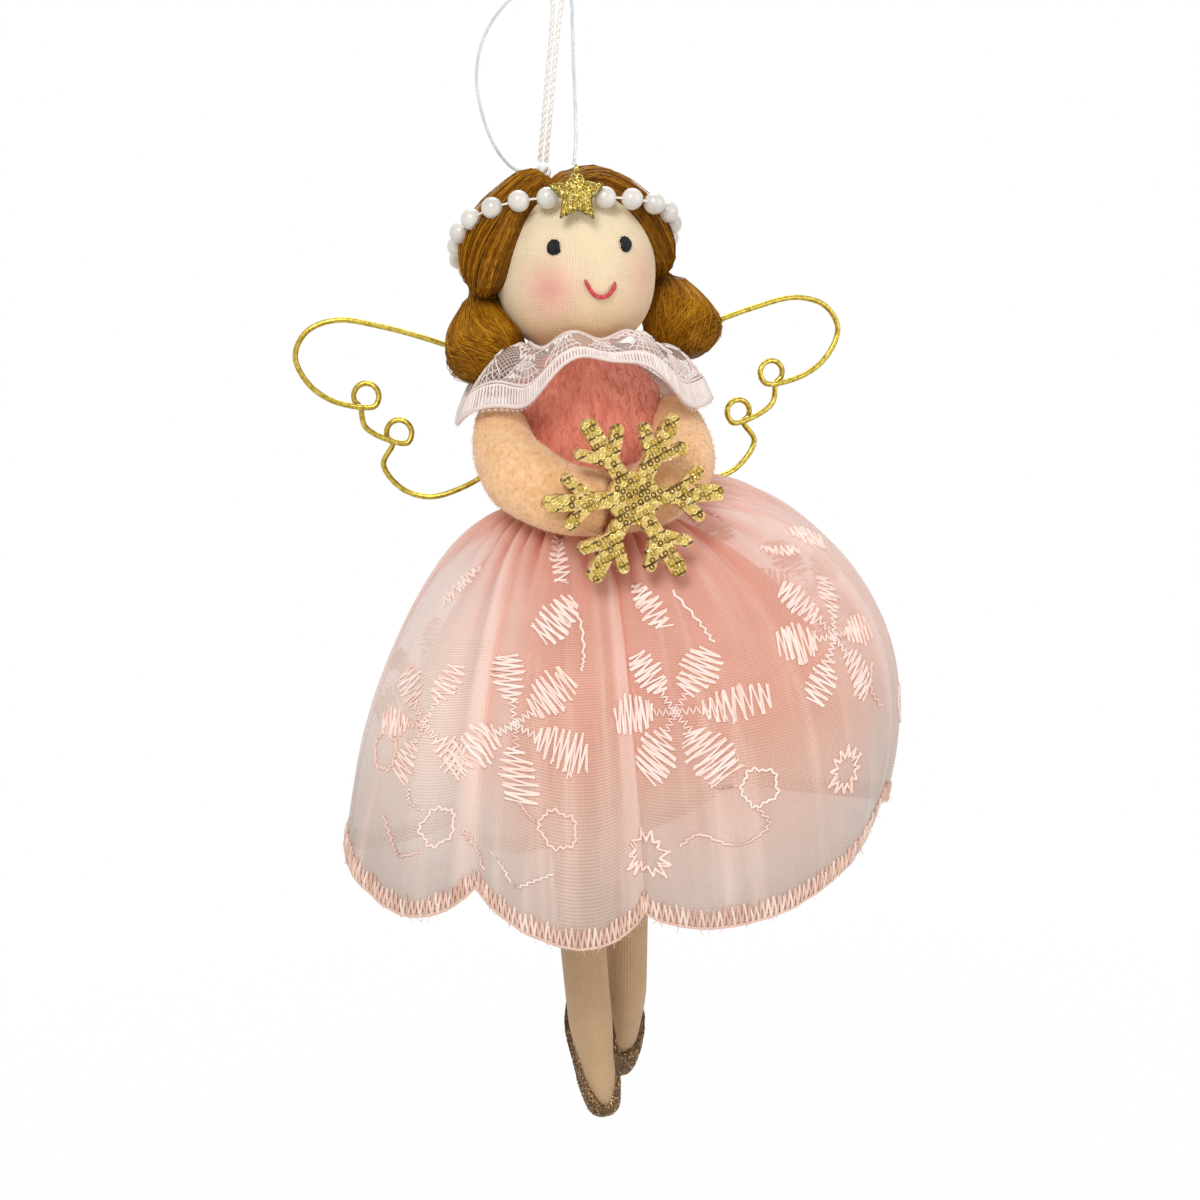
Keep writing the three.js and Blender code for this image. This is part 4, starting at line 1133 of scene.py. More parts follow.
# %% Soft cloth
def soft_cloth(name, dark, light, grain, stretch=(1, 1, 1), roughness=0.95):
    material, tree, shader = finish(name, roughness, Sheen_Weight=0.45, Sheen_Roughness=0.6)
    fine = object_noise(tree, grain, 5.0, stretch)
    broad = object_noise(tree, grain / 9, 2.0)
    parts = [math_node(tree, "MULTIPLY", value, share) for value, share in ((fine, 0.6), (broad, 0.4))]
    tone = math_node(tree, "ADD", *parts)
    tree.links.new(ramp(tree, tone, (0.32, dark), (0.66, light)), shader.inputs["Base Color"])
    bumped(tree, shader, fine, 0.55, 0.35 * MM)
    return material


def fuzz(name, form, count, length, lay, material, rng, lift=0.35, radius=0.06):
    """Short fibres on a form's faces. Lay is the way that they are brushed, lift how far they stand up."""
    mesh = form.data
    faces = [face for face in mesh.polygons if len(face.vertices) == 4]
    sizes = [face.area for face in faces]
    lines, tones = [], []
    for face in rng.choices(faces, sizes, k=count):
        a, b, c, d = (mesh.vertices[v].co for v in face.vertices)
        u, v = rng.random(), rng.random()
        root = a.lerp(b, u).lerp(d.lerp(c, u), v)
        way = lay + Vector([rng.gauss(0, 0.45) for _ in range(3)])
        way = way - face.normal * way.dot(face.normal)
        way = (way.normalized() + face.normal * lift * rng.uniform(0.2, 1.4)) * length * rng.uniform(0.5, 1.2)
        bend = face.normal * -0.15 * length
        lines.append([root, root + way * 0.5, root + way + bend])
        tones.append(rng.random())
    taper = lambda t: 1 - 0.6 * t
    return threads(name, lines, radius * MM, material, 3, tones, taper)


FELT = soft_cloth("felt_cloth", srgb(231, 172, 113), srgb(247, 206, 158), 900)
FELT_HAIR = fibre("felt_hair", srgb(229, 172, 113), srgb(245, 204, 156), srgb(254, 230, 200), 0.9)
FLEECE = soft_cloth("bodice_fleece", srgb(214, 112, 92), srgb(238, 152, 130), 700, (1.6, 1.6, 0.3))
FLEECE_HAIR = fibre("fleece_hair", srgb(214, 112, 92), srgb(234, 144, 122), srgb(250, 186, 166), 0.85)

# %% [markdown]
# The bodice is a cloth tube full of wadding. It could be a pillow blown up by a cloth simulation, but
# rings through five heights give its shoulders, waist and hips directly. Tied threads lie at the neck and
# the waist.

# %% Bodice
TORSO = ((-17.2, 6.8, 6.8), (-24, 12.2, 9), (-32.8, 12.2, 9.6), (-46, 9, 9), (-58, 9.6, 8.6))


def make_bodice():
    stations = through([Vector((across, deep, z)) for z, across, deep in TORSO], 9)
    turns = [2 * math.pi * j / 64 for j in range(64)]
    fuller = lambda t: 1 + 0.2 * max(0.0, math.cos(t))  # the stuffing lies more to the doll's left
    rows = [[spot(p.x * fuller(t) * math.cos(t), p.y * math.sin(t), p.z) for t in turns] for p in stations]
    bodice = outward(surface("bodice_cloth", rows, FLEECE, caps=True))
    dress(bodice, "torso", "bodice_cloth", "bodice")
    downwards, rng = Vector((0, 0, -1)), random.Random(21)
    pile = fuzz("bodice_pile", bodice, 5200, 1.5 * MM, downwards, FLEECE_HAIR, rng, 0.25)
    dress(pile, "torso", "bodice_cloth")


def thread_ring(name, radius, height, body, node):
    """A tied thread: two turns round the neck or the waist."""
    line = []
    for k in range(129):
        turn = 4 * math.pi * k / 128
        line.append(spot(radius * math.cos(turn), radius * math.sin(turn), height + 0.5 * (k / 128 - 0.5)))
    ring = threads(name, plies(line, 2, 0.16 * MM, 1.4 * MM), 0.2 * MM, WHITE_THREAD, 5)
    dress(ring, body, "thread", node)


make_bodice()
thread_ring("neck_thread", 6.3, -17.4, "head", "neck_tie")
thread_ring("waist_gather", 9.8, -44.6, "torso", "waist_thread")

# %% [markdown]
# ## The lace collar
# Machine lace is a net with heavier threads worked into it. Its pattern repeats round the collar: a block
# of ladder stitches, then a fan of fine threads with two arcs, between corded edges. Each thread of the
# pattern is drawn once on the flat, and a function lays it on the collar's waves. A see-through texture
# would be quicker, but real threads catch the light and cast small shadows.

# %% Collar
COLLAR_WAVES, COLLAR_CREST, LACE_REPEATS = 7, math.radians(-110), 14


def around(turn, left, back, right, front):
    side, depth = math.cos(turn), math.sin(turn)
    return side * side * (left if side > 0 else right) + depth * depth * (back if depth > 0 else front)


def turn_apart(turn, degrees):
    """How many degrees a turn lies from another."""
    return (math.degrees(turn) - degrees + 180) % 360 - 180


def collar_spot(turn, down, lift=0.0):
    """A point of the collar: round from the doll's left, down from the neck, lifted in millimetres."""
    front = max(0.0, -math.sin(turn)) ** 3
    top = 7.4 + 5.2 * smoothstep(-0.1, 0.7, -math.sin(turn))
    start = 2.2 - 1.9 * smoothstep(0.2, 0.5, -math.sin(turn)) - 1.6 * front
    hem = around(turn, 24.5, 16, 24.5, 18.2)
    fall = around(turn, 14, 7, 14, 2)
    wave = 1.2 * min(1.0, 0.8 + 1.5 * down) * math.cos(COLLAR_WAVES * (turn - COLLAR_CREST))
    tuck = 3.6 * math.exp(-(turn_apart(turn, -150) / 20) ** 2) * down
    sag = 2 * math.exp(-(turn_apart(turn, -128) / 22) ** 2) * down
    sag += 3.2 * math.exp(-(turn_apart(turn, -48) / 20) ** 2) * max(down, 0.0) ** 2
    radius = top + (hem - top) * max(down, 0.0) ** 0.65 + wave / 2 + lift * 0.55 - tuck
    drop = start + (fall - start) * max(down, 0.0) ** 2.6
    return spot(radius * math.cos(turn), radius * math.sin(turn), wave - 15 - drop - sag + lift * 0.8)


def collar_line(flat, lift=0.2, steps=6):
    """A line on the collar from points of (turn, down)."""
    line = []
    for (t0, d0), (t1, d1) in zip(flat, flat[1:]):
        for k in range(steps):
            line.append(collar_spot(t0 + (t1 - t0) * k / steps, d0 + (d1 - d0) * k / steps, lift))
    return [*line, collar_spot(*flat[-1], lift)]


def lace_pattern():
    """Lines of the lace by weight: heavy edges, ladder stitches, and the fine threads of the open rows."""
    heavy, ladder, fine = [], [], []
    whole = 2 * math.pi
    for down in (0.0, 0.975):
        heavy.append([collar_spot(whole * k / 400, down, 0.25) for k in range(401)])
    for down in (0.8, 0.83):
        ladder.append([collar_spot(whole * k / 400, down, 0.25) for k in range(401)])
    span = whole / LACE_REPEATS
    for repeat in range(LACE_REPEATS):
        start = repeat * span
        for row, (top, foot) in enumerate(((0.06, 0.25), (0.27, 0.46))):
            zigzag = []
            for k in range(8):
                zigzag.append((start + span * (0.05 + 0.3 * row + 0.065 * k), foot if k % 2 else top))
            ladder.append(collar_line(zigzag, 0.3, 3))
        middle = start + span * 0.6
        for k in range(7):
            share = k / 3 - 1
            root, foot = middle + span * 0.1 * share, middle + span * 0.42 * share
            fine.append(collar_line([(root, 0.46), (foot, 0.8 - 0.06 * share * share)]))
        for down in (0.56, 0.68):
            wide = 0.2 + 0.9 * (down - 0.46)
            arc = [(middle + span * wide * s, down + 0.04 * (1 - s * s)) for s in (-1, 0, 1)]
            fine.append(collar_line(arc, 0.25))
        fine.append(collar_line([(start, 0.0), (start + span * 0.5, 0.46), (start + span, 0.0)]))
    stitches = 210
    for k in range(stitches):
        turn = whole * k / stitches
        ladder.append(collar_line([(turn, 0.82), (turn + 0.006, 0.97)], 0.32, 2))
    return heavy, ladder, fine


def lace_net():
    """The net behind the pattern: see-through cloth with a fine diamond mesh."""
    material, tree, shader = finish("lace_net", 0.8)
    u, v = cloth_uv(tree)
    strands = []
    for slope in ("ADD", "SUBTRACT"):
        slant = math_node(tree, "MULTIPLY", math_node(tree, slope, u, v), math.pi / 0.9)
        strands.append(math_node(tree, "ABSOLUTE", math_node(tree, "COSINE", slant)))
    mesh = math_node(tree, "MAXIMUM", *strands)
    cover = ranged(tree, mesh, 0.8, 0.97, 0.1, 0.55)
    tree.links.new(cover, shader.inputs["Alpha"])
    tone = ramp(tree, object_noise(tree, 500), (0.3, srgb(232, 214, 208)), (0.7, srgb(248, 238, 234)))
    tree.links.new(tone, shader.inputs["Base Color"])
    return material


def make_collar():
    rows = [[collar_spot(2 * math.pi * j / 216, i / 14) for j in range(216)] for i in range(15)]
    net = surface("collar_net", rows, lace_net(), uvs=lambda i, j: (j / 216 * 108, i / 14 * 15))
    dress(net, "torso", "lace", "lace_collar")
    rng = random.Random(31)
    for name, lines, radius in zip(("edge", "ladder", "fan"), lace_pattern(), (0.42, 0.25, 0.11)):
        tones = [rng.uniform(0.35, 0.9) for _ in lines]
        piece = threads(f"lace_{name}", lines, radius * MM, LACE_THREAD, 5, tones)
        dress(piece, "torso", "lace")
    area = sum(face.area for face in net.data.polygons)
    print("collar", round(area * 1e6), "mm2")


make_collar()

# %% [markdown]
# ## Arms and snowflake
# The arms are stuffed felt tubes that meet in front, and the hands hold a snowflake cut from glitter
# foam. The foam has rows of round sequins between dark stamped lines.

# %% Arms
ARM_ROUTE = (
    (14.9, 0.6, -26.2), (16.1, 0, -29.6), (16.7, -4.2, -33.7), (15.1, -10.5, -38.2),
    (9, -17.3, -42.3), (0.3, -19, -44),
)
SHOULDER_R, ELBOW_R, HAND_R = 4.2, 6.4, 5.4
ARM_ASIDE = {-1: 0.5, 1: 0.7}  # how far each upper arm lies to the doll's left of its route
ARM_FORWARD = {-1: 1.8, 1: 1.2}
ARM_FULLER = {-1: 1.1, 1: 1.06}


def arm_girth(t):
    """Radius of an arm along its route, widest at the elbow and round at both ends."""
    if t < 0.5:
        swell = SHOULDER_R + (ELBOW_R - SHOULDER_R) * t * 2
    else:
        swell = ELBOW_R + (HAND_R - ELBOW_R) * (t * 2 - 1)
    to_end = min(1, min(t, 1 - t) / 0.1)
    return swell * min(1, 0.12 + math.sqrt(to_end * (2 - to_end))) * MM


def make_arm(side, hand, rng):
    route = []
    for k, (x, y, z) in enumerate(ARM_ROUTE):
        upper = smoothstep(1.0, 0.2, k / (len(ARM_ROUTE) - 1))
        route.append(spot(hand * x + ARM_ASIDE[hand] * upper, y - ARM_FORWARD[hand] * upper, z))
    line = even(through(route, 20), 61)
    rows = rings_along(line, [ARM_FULLER[hand] * arm_girth(k / 60) for k in range(61)], 40)
    arm = outward(surface(f"arm_felt_{side}", rows, FELT, caps=True))
    dress(arm, "arms", "felt", f"arm_{side}")
    hairs = fuzz(f"arm_fuzz_{side}", arm, 4200, 0.7 * MM, Vector((0, 0, -0.3)), FELT_HAIR, rng, 0.7, 0.035)
    dress(hairs, "arms", "felt")


seeded = random.Random(41)
for side, hand in SIDES:
    make_arm(side, hand, seeded)

# %% [markdown]
# The snowflake is stamped from flat foam, so a copy of its solid has the right outline already. A bevel
# softens its edges, the stamped lines are part of its finish, and the sequins are small rings in slanting
# rows.

# %% Snowflake
FLAKE_MIDDLE, FLAKE_FRONT = (2.5, -42.4), -26.9
FLAKE_TIP, FLAKE_STEM, FLAKE_BRANCH, FLAKE_FORK, FLAKE_TWIG, FLAKE_HUB = 16.4, 1.5, 1.1, 7.8, 5.8, 4.8
FLAKE_SPREAD = math.radians(44)
SEQUIN_PITCH, SEQUIN_ROW, SEQUIN_R, FLAKE_SLANT = 1.35, 1.05, 0.42, math.radians(24)
BRIGHT_FLAKE = flake_finish("bright_flake", srgb(170, 132, 58), srgb(236, 204, 120), srgb(255, 250, 222), 0.6)


def flake_bars():
    """The bars of the snowflake as (start, end, half width) on its own plane."""
    bars = []
    for k in range(6):
        turn = math.radians(60 * k)
        way = Vector((math.cos(turn), math.sin(turn)))
        bars.append((Vector((0, 0)), way * (FLAKE_TIP - FLAKE_BRANCH), FLAKE_STEM))
        for side in (-1, 1):
            leaf = turn + side * FLAKE_SPREAD
            fork = way * FLAKE_FORK
            bars.append((fork, fork + Vector((math.cos(leaf), math.sin(leaf))) * FLAKE_TWIG, FLAKE_BRANCH))
    return bars


def inside_flake(place, margin, bars):
    if place.length < FLAKE_HUB - margin:
        return True
    for start, end, half in bars:
        along = end - start
        share = min(1, max(0, (place - start).dot(along) / along.length_squared))
        if (place - start - along * share).length < half - margin:
            return True
    return False


def foam_finish():
    """Gold foam: grainy, with dark slanting lines stamped across it."""
    material, tree, shader = finish("gold_foam", 0.5, Metallic=0.25)
    where = add(tree, "ShaderNodeTexCoord").outputs["Object"]
    x, _, z = add(tree, "ShaderNodeSeparateXYZ", {0: where}).outputs
    middle = spot(FLAKE_MIDDLE[0], 0, FLAKE_MIDDLE[1])
    from_x, from_z = (math_node(tree, "SUBTRACT", s, m) for s, m in ((x, middle.x), (z, middle.z)))
    slant = math_node(tree, "SUBTRACT", math_node(tree, "MULTIPLY", from_z, math.cos(FLAKE_SLANT)),
                      math_node(tree, "MULTIPLY", from_x, math.sin(FLAKE_SLANT)))
    wave = math_node(tree, "SINE", math_node(tree, "MULTIPLY", slant, math.pi / (SEQUIN_ROW * MM)))
    line = ranged(tree, wave, 0.7, 0.9)
    dash = ranged(tree, object_noise(tree, 900, 1.0), 0.35, 0.5)
    grain = object_noise(tree, 1700, 4.0)
    gold = ramp(tree, grain, (0.3, srgb(184, 150, 84)), (0.6, srgb(222, 190, 120)),
                (0.8, srgb(250, 230, 176)))
    colour = blended(tree, math_node(tree, "MULTIPLY", line, dash), gold, srgb(74, 50, 22))
    tree.links.new(colour, shader.inputs["Base Color"])
    bumped(tree, shader, grain, 0.6, 0.2 * MM)
    return material


def make_snowflake():
    """A copy of the solid with softened edges, then sequins in slanting rows on its front."""
    flake = linked("snowflake_foam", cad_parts["snowflake"].data.copy())
    flake.data.materials.clear()
    flake.data.materials.append(foam_finish())
    weld = flake.modifiers.new("weld", "WELD")
    weld.merge_threshold = 0.02 * MM
    bevel = flake.modifiers.new("bevel", "BEVEL")
    bevel.width, bevel.segments = 0.35 * MM, 3
    bevel.limit_method, bevel.angle_limit = "ANGLE", math.radians(50)
    settled(flake)
    flake.data.polygons.foreach_set("use_smooth", [False] * len(flake.data.polygons))
    dress(flake, "arms", "glitter_gold", "snowflake")
    bars, rings, tones = flake_bars(), [], []
    rng = random.Random(47)
    tilt = Matrix.Rotation(FLAKE_SLANT, 2)
    for row in range(-16, 17):
        for k in range(-18, 19):
            place = tilt @ Vector(((k + 0.5 * (row % 2)) * SEQUIN_PITCH, row * SEQUIN_ROW))
            if not inside_flake(place, 0.35, bars):
                continue
            ring = []
            for step in range(9):
                turn = 2 * math.pi * step / 8
                ring.append(spot(FLAKE_MIDDLE[0] + place.x + SEQUIN_R * math.cos(turn), FLAKE_FRONT - 0.04,
                                 FLAKE_MIDDLE[1] + place.y + SEQUIN_R * math.sin(turn)))
            rings.append(ring)
            tones.append(rng.random())
    sequins = threads("snowflake_sequins", rings, 0.14 * MM, GOLD_FLAKE, 4, tones)
    dress(sequins, "arms", "glitter_gold")
    sparkle = glittered("snowflake_glitter", flake, 3.5e6, 0.2 * MM, 0.6, BRIGHT_FLAKE)
    dress(sparkle, "arms", "glitter_gold")


make_snowflake()

# %% [markdown]
# ## Wire wings
# Each wing is one length of gold wire, bent round an upper lobe, round two small curls, and back round a
# lower lobe. A felt patch sewn on the back holds the four ends.

# %% Wings
WIRE_R, CURL_R, CURL_STEP, WING_SWEEP = 0.55, 2.4, 1.75, 0.16
WING_REACH = {-1: 0.95, 1: 1.08}
PATCH_HALF_WIDTH, PATCH_HALF_HEIGHT, PATCH_MIDDLE, PATCH_STITCHES = 5.5, 6.4, -28.8, 22
PATCH_LAYERS = ((11.3, 0.97), (11.45, 1.0), (12.2, 1.0), (12.45, 0.95), (12.5, 0.6))  # depth and share
PATCH_STITCH = ((12.55, 0.8), (12.65, 0.92), (12.1, 1.02))  # the same along one stitch over the edge


def wing_spot(hand, out, rise, steps=0.0):
    swept = WING_SWEEP * max(0, out - 6.05)
    return spot(hand * WING_REACH[hand] * out, 10.45 + swept + CURL_STEP * steps, rise - 24)


def curl(hand, out, rise, step):
    for i in range(9):
        turn = -math.radians(120 + 300 * i / 8)
        yield wing_spot(hand, out + CURL_R * math.cos(turn), rise + CURL_R * math.sin(turn), step + i / 8)


def wing_line(hand):
    upper = ((1.4, -0.5), (9, 2.8), (24, 9.2), (36, 13.1), (45.3, 14.8), (51.2, 12.8), (53.6, 8.3), (51.3, 3),
             (46.3, -0.6))
    lower = ((36.9, -13.2, 2), (33.6, -18, 2), (28.2, -19.9, 1.6), (21.4, -18.2, 1), (12, -13), (1.4, -8.5))
    places = [wing_spot(hand, *place) for place in upper]
    places += [*curl(hand, 40, 0.2, 0), wing_spot(hand, 40.2, -6, 1), *curl(hand, 33.6, -7.2, 1)]
    places += [wing_spot(hand, *place) for place in lower]
    return through(places, 10)


def gold_wire():
    material, tree, shader = finish("gold_wire", 0.28, Metallic=1.0)
    scratch = object_noise(tree, 1400, 3.0)
    colour = ramp(tree, scratch, (0.3, srgb(150, 128, 40)), (0.55, srgb(196, 172, 74)),
                  (0.8, srgb(224, 204, 120)))
    tree.links.new(colour, shader.inputs["Base Color"])
    bumped(tree, shader, scratch, 0.3, 0.05 * MM)
    return material


def make_wings():
    wire = gold_wire()
    for side, hand in SIDES:
        piece = threads(f"wing_wire_{side}", [wing_line(hand)], WIRE_R * MM, wire, 10)
        dress(piece, "torso", "wire", f"wing_{side}")


def patch_spot(turn, depth, share):
    """A point of the oval patch on the back."""
    across, up = PATCH_HALF_WIDTH * share * math.cos(turn), PATCH_HALF_HEIGHT * share * math.sin(turn)
    return spot(across, depth, PATCH_MIDDLE + up)


def make_patch():
    turns = [2 * math.pi * j / 40 for j in range(40)]
    rows = [[patch_spot(turn, *layer) for turn in turns] for layer in PATCH_LAYERS]
    patch = outward(surface("patch_felt", rows, FLEECE, caps=True))
    dress(patch, "torso", "bodice_cloth", "wing_patch")
    stitches = []
    for k in range(PATCH_STITCHES):
        turn = 2 * math.pi * k / PATCH_STITCHES
        stitches.append([patch_spot(turn, *place) for place in PATCH_STITCH])
    sewing = threads("patch_stitches", stitches, 0.16 * MM, PINK_THREAD, 5)
    dress(sewing, "torso", "thread")


make_wings()
make_patch()

# %% [markdown]
# ## The skirt
# The skirt is two layers gathered at the waist: a pink net lining, and over it a stiff sheer organza that
# stands out in puffs. Both follow the same formula as their solids, and the organza adds finer gathers at
# the waist and soft creases lower down. Sheer cloth is a thin weave with holes, so its finish is a weave
# with partial alpha. A cloth simulation would fold by chance, and the formula keeps each pleat in its
# place.

# %% Skirt forms
SKIRT = {
    "flare": (44, 22, 28, 22), "top": (-0.5, 2, 0, 4), "belly": (70, 32, 44.5, 31),
    "level": (26, 32, 30, 32), "hem": (57, 33, 50, 33), "drop": (57, 68, 58.5, 71),
}
LINING = {
    "flare": (28, 16, 20, 16), "top": (5, 6, 5, 7), "belly": (55, 25, 36, 25),
    "level": (28, 32, 30, 32), "hem": (47, 27, 41, 28), "drop": (52, 58, 51, 60),
}
PLEATS = (-187, -138, -90, -15, 38, 85, 128)
PANEL_SWELL, SCALLOP, HEM_SKEW = 4.2, 6.5, 3.0
PUFF_TURN, PUFF_WIDTH, PUFF_RISE = math.radians(22), math.radians(34), 6.5
WAIST = -46


def panel_at(turn):
    """How far a panel bulges: nought at its pleats and one in its middle."""
    edges = (*PLEATS, PLEATS[0] + 360)
    wound = (math.degrees(turn) - edges[0]) % 360 + edges[0]
    for low, high in zip(edges, edges[1:]):
        if low <= wound <= high:
            return math.sin(math.pi * (wound - low) / (high - low))
    return 0.0


def layer_spot(layer, waist, turn, down, swell, scallop, puff):
    at = {key: around(turn, *values) for key, values in layer.items()}
    up = 1 - down
    weights = (up ** 3, 3 * up * up * down, 3 * up * down * down, down ** 3)
    radii = (waist, at["flare"], at["belly"], at["hem"])
    drops = (0, at["top"], at["level"], at["drop"] + scallop)
    radius = swell + sum(w * r for w, r in zip(weights, radii))
    drop = sum(w * d for w, d in zip(weights, drops)) - puff * math.sin(math.pi * max(down, 0.0) ** 0.6)
    return Vector((radius * math.cos(turn), radius * math.sin(turn), WAIST - drop))


def gathers(turn, down):
    """Folds that the waist thread draws up: their height, from minus one to one, and their depth."""
    ridge = 2 * abs(math.sin(17 * turn + 1.4 * math.sin(5 * turn))) - 1
    reach = 0.17 + 0.06 * math.sin(7 * turn)
    return ridge, math.exp(-((down - 0.14) / reach) ** 2)


def pleat_fold(turn, down):
    """One where a pleat lays the organza double. The fold has its crisp edge at the pleat."""
    fold = 0.0
    for pleat in PLEATS:
        apart = turn_apart(turn, pleat)
        fold = max(fold, smoothstep(-7, -3.5, apart) * (1 - smoothstep(0, 0.8, apart)))
    return fold * smoothstep(0.1, 0.35, down) * (1 - 0.4 * smoothstep(0.75, 1.0, down))


def hem_skew(turn):
    """How far the hem is lifted in the panel on the doll's right, whose scallop hangs askew."""
    from_pleat, panel = turn_apart(turn, PLEATS[0]), PLEATS[1] - PLEATS[0]
    if 0 < from_pleat < panel:
        return HEM_SKEW * math.sin(math.radians(360 / panel) * from_pleat)
    return 0.0


def veil_spot(turn, down, lift=0.0):
    """A point of the organza, lifted off it in millimetres. Gathers soften into creases below."""
    bulge = max(0.0, panel_at(turn))
    away = (turn - PUFF_TURN + math.pi) % (2 * math.pi) - math.pi
    puff = PUFF_RISE * math.exp(-(away / PUFF_WIDTH) ** 2)
    ridge, depth = gathers(turn, down)
    gather = 0.9 * ridge * depth
    crease = noise.noise((5.5 * math.cos(turn), 5.5 * math.sin(turn), 1.5 * down))
    crease = crease * 1.5 * down * (1.2 - 0.5 * down)
    fine = noise.noise((15 * math.cos(turn), 15 * math.sin(turn), 5 * down)) * 0.35 * down
    swell = PANEL_SWELL * (bulge - 0.6) * max(down, 0.0) ** 1.5 + gather + crease + fine + lift
    swell += 0.6 * pleat_fold(turn, down)
    scallop = SCALLOP * bulge ** 0.7 - hem_skew(turn)
    place = layer_spot(SKIRT, 10.5, turn, down, swell, scallop, puff)
    return spot(place.x, place.y, place.z + gather)


def lining_spot(turn, down):
    fold = 1.6 * math.cos(9 * turn) * down ** 1.5
    place = layer_spot(LINING, 9.6, turn, down, fold, 0, 0)
    return spot(place.x, place.y, place.z - 0.6 * (1 - down))


def sheer(name, colour, cover_low, cover_high, thread):
    """Sheer cloth: a fine plain weave on the UV map. The attribute "cover" thins it or doubles it."""
    material, tree, shader = finish(name, 0.5, Sheen_Weight=0.3, Sheen_Roughness=0.4, Specular_IOR_Level=0.4)
    u, v = cloth_uv(tree)
    waves = []
    for place in (u, v):
        wave = math_node(tree, "SINE", math_node(tree, "MULTIPLY", place, math.pi / thread))
        waves.append(math_node(tree, "ABSOLUTE", wave))
    weave = math_node(tree, "MAXIMUM", *waves)
    uneven = math_node(tree, "MULTIPLY", object_noise(tree, 120, 4.0), 0.2)
    cover = ranged(tree, weave, 0.5, 1.0, cover_low, cover_high)
    cover = math_node(tree, "ADD", cover, math_node(tree, "SUBTRACT", uneven, 0.1))
    tree.links.new(math_node(tree, "MULTIPLY", cover, attribute(tree, "cover")), shader.inputs["Alpha"])
    # Lighter streaks that run down the cloth: painted highlights on its fine folds.
    across, along = math_node(tree, "MULTIPLY", u, 0.22), math_node(tree, "MULTIPLY", v, 0.02)
    run = add(tree, "ShaderNodeCombineXYZ", {0: across, 1: along}).outputs[0]
    streak = add(tree, "ShaderNodeTexNoise", {"Vector": run, "Scale": 1.0, "Detail": 5.0}).outputs[0]
    light = ranged(tree, streak, 0.5, 0.75, 0.0, 0.45)
    # Darker between the threads of the weave: painted shade.
    thread_gap_shade = ranged(tree, weave, 0.5, 1.0, 0.34, 0.0)
    cloth = blended(tree, light, colour(tree), srgb(250, 222, 211))
    cloth = blended(tree, thread_gap_shade, cloth, srgb(214, 176, 160), "MULTIPLY")
    tree.links.new(cloth, shader.inputs["Base Color"])
    bumped(tree, shader, weave, 0.5, 0.08 * MM)
    return material


def organza_colour(tree):
    """Pink over the lining, grey towards the hem and the right side, and paler where a pleat is doubled."""
    fallen = attribute(tree, "fallen")
    # Both ramps grow darker towards the hem, which is painted shade.
    pink = ramp(tree, fallen, (0.1, srgb(244, 184, 164)), (0.35, srgb(236, 174, 155)),
                (0.6, srgb(221, 161, 141)), (0.8, srgb(203, 157, 138)), (1.0, srgb(186, 158, 143)))
    ashen = ramp(tree, fallen, (0.3, srgb(254, 240, 233)), (0.7, srgb(232, 215, 205)),
                 (1.0, srgb(178, 167, 159)))
    pale = blended(tree, attribute(tree, "grey"), pink, ashen)
    mottle = math_node(tree, "MULTIPLY", object_noise(tree, 70, 3.0), 0.25)
    pale = blended(tree, mottle, pale, srgb(242, 208, 195))
    pale = blended(tree, attribute(tree, "doubled"), pale, srgb(252, 226, 217))
    # Painted shade in the valleys of the gathers and beside the pleats.
    return blended(tree, attribute(tree, "valley"), pale, srgb(238, 136, 108))


def lining_colour(tree):
    return ramp(tree, object_noise(tree, 150, 3.0), (0.3, srgb(238, 124, 98)), (0.7, srgb(246, 146, 120)))


def veil_looks(turn, down):
    """How doubled, how much painted shade in gathers and by pleats, how dense and how grey the organza is.
    Its back is thinner below.
    """
    doubled = pleat_fold(turn, down)
    ridge, depth = gathers(turn, down)
    # Painted shade: deep in the valleys of the gathers, and in a narrow band on one side of each pleat.
    valley = 0.75 * smoothstep(0.5, -0.9, ridge) * depth
    beside = min(turn_apart(turn, pleat) % 360 for pleat in PLEATS)
    valley += 0.35 * math.exp(-(beside / 2.5) ** 2) * smoothstep(0.1, 0.4, down) * smoothstep(0.95, 0.6, down)
    low = smoothstep(0.3, 0.72, down)
    back = smoothstep(-0.35, 0.45, math.sin(turn))
    cover = 0.95 + 0.42 * low * (1 - back) - 0.4 * low * back + 0.15 * doubled
    right = smoothstep(0.5, 0.92, -math.cos(turn)) * smoothstep(0.1, 0.4, down)
    grey = 0.7 * smoothstep(0.7, 1.0, down) + 0.95 * right + 0.45 * smoothstep(0.7, 1.0, math.cos(turn))
    return doubled * 0.4, min(1.0, valley), cover, min(1.0, grey)


def make_organza():
    around_count, down_count = 480, 96
    turns = [2 * math.pi * j / around_count for j in range(around_count)]
    rows = [[veil_spot(t, i / down_count) for t in turns] for i in range(down_count + 1)]
    looks = [veil_looks(t, i / down_count) for i in range(down_count + 1) for t in turns]
    doubled, valley, cover, grey = (list(values) for values in zip(*looks))
    fallen = [i / down_count for i in range(down_count + 1) for _ in turns]
    uvs = lambda i, j: (j / around_count * 300, i / down_count * 84)
    organza = surface("organza_skirt", rows, sheer("organza", organza_colour, 0.57, 0.74, 0.44), uvs=uvs,
                      fallen=fallen, doubled=doubled, valley=valley, cover=cover, grey=grey)
    return dress(organza, "torso", "organza", "overskirt")


def make_lining():
    inner = [[lining_spot(2 * math.pi * j / 180, i / 48) for j in range(180)] for i in range(49)]
    thin = [1 - 0.85 * smoothstep(0.74, 1.0, i / 48) for i in range(49) for _ in range(180)]
    uvs = lambda i, j: (j / 180 * 200, i / 48 * 66)
    net = surface("lining_net", inner, sheer("pink_net", lining_colour, 0.7, 0.95, 0.6), uvs=uvs, cover=thin)
    return dress(net, "torso", "tulle", "skirt_lining")


organza, lining = make_organza(), make_lining()
for piece in (organza, lining):
    print(piece.name, round(sum(face.area for face in piece.data.polygons) * 1e6), "mm2")

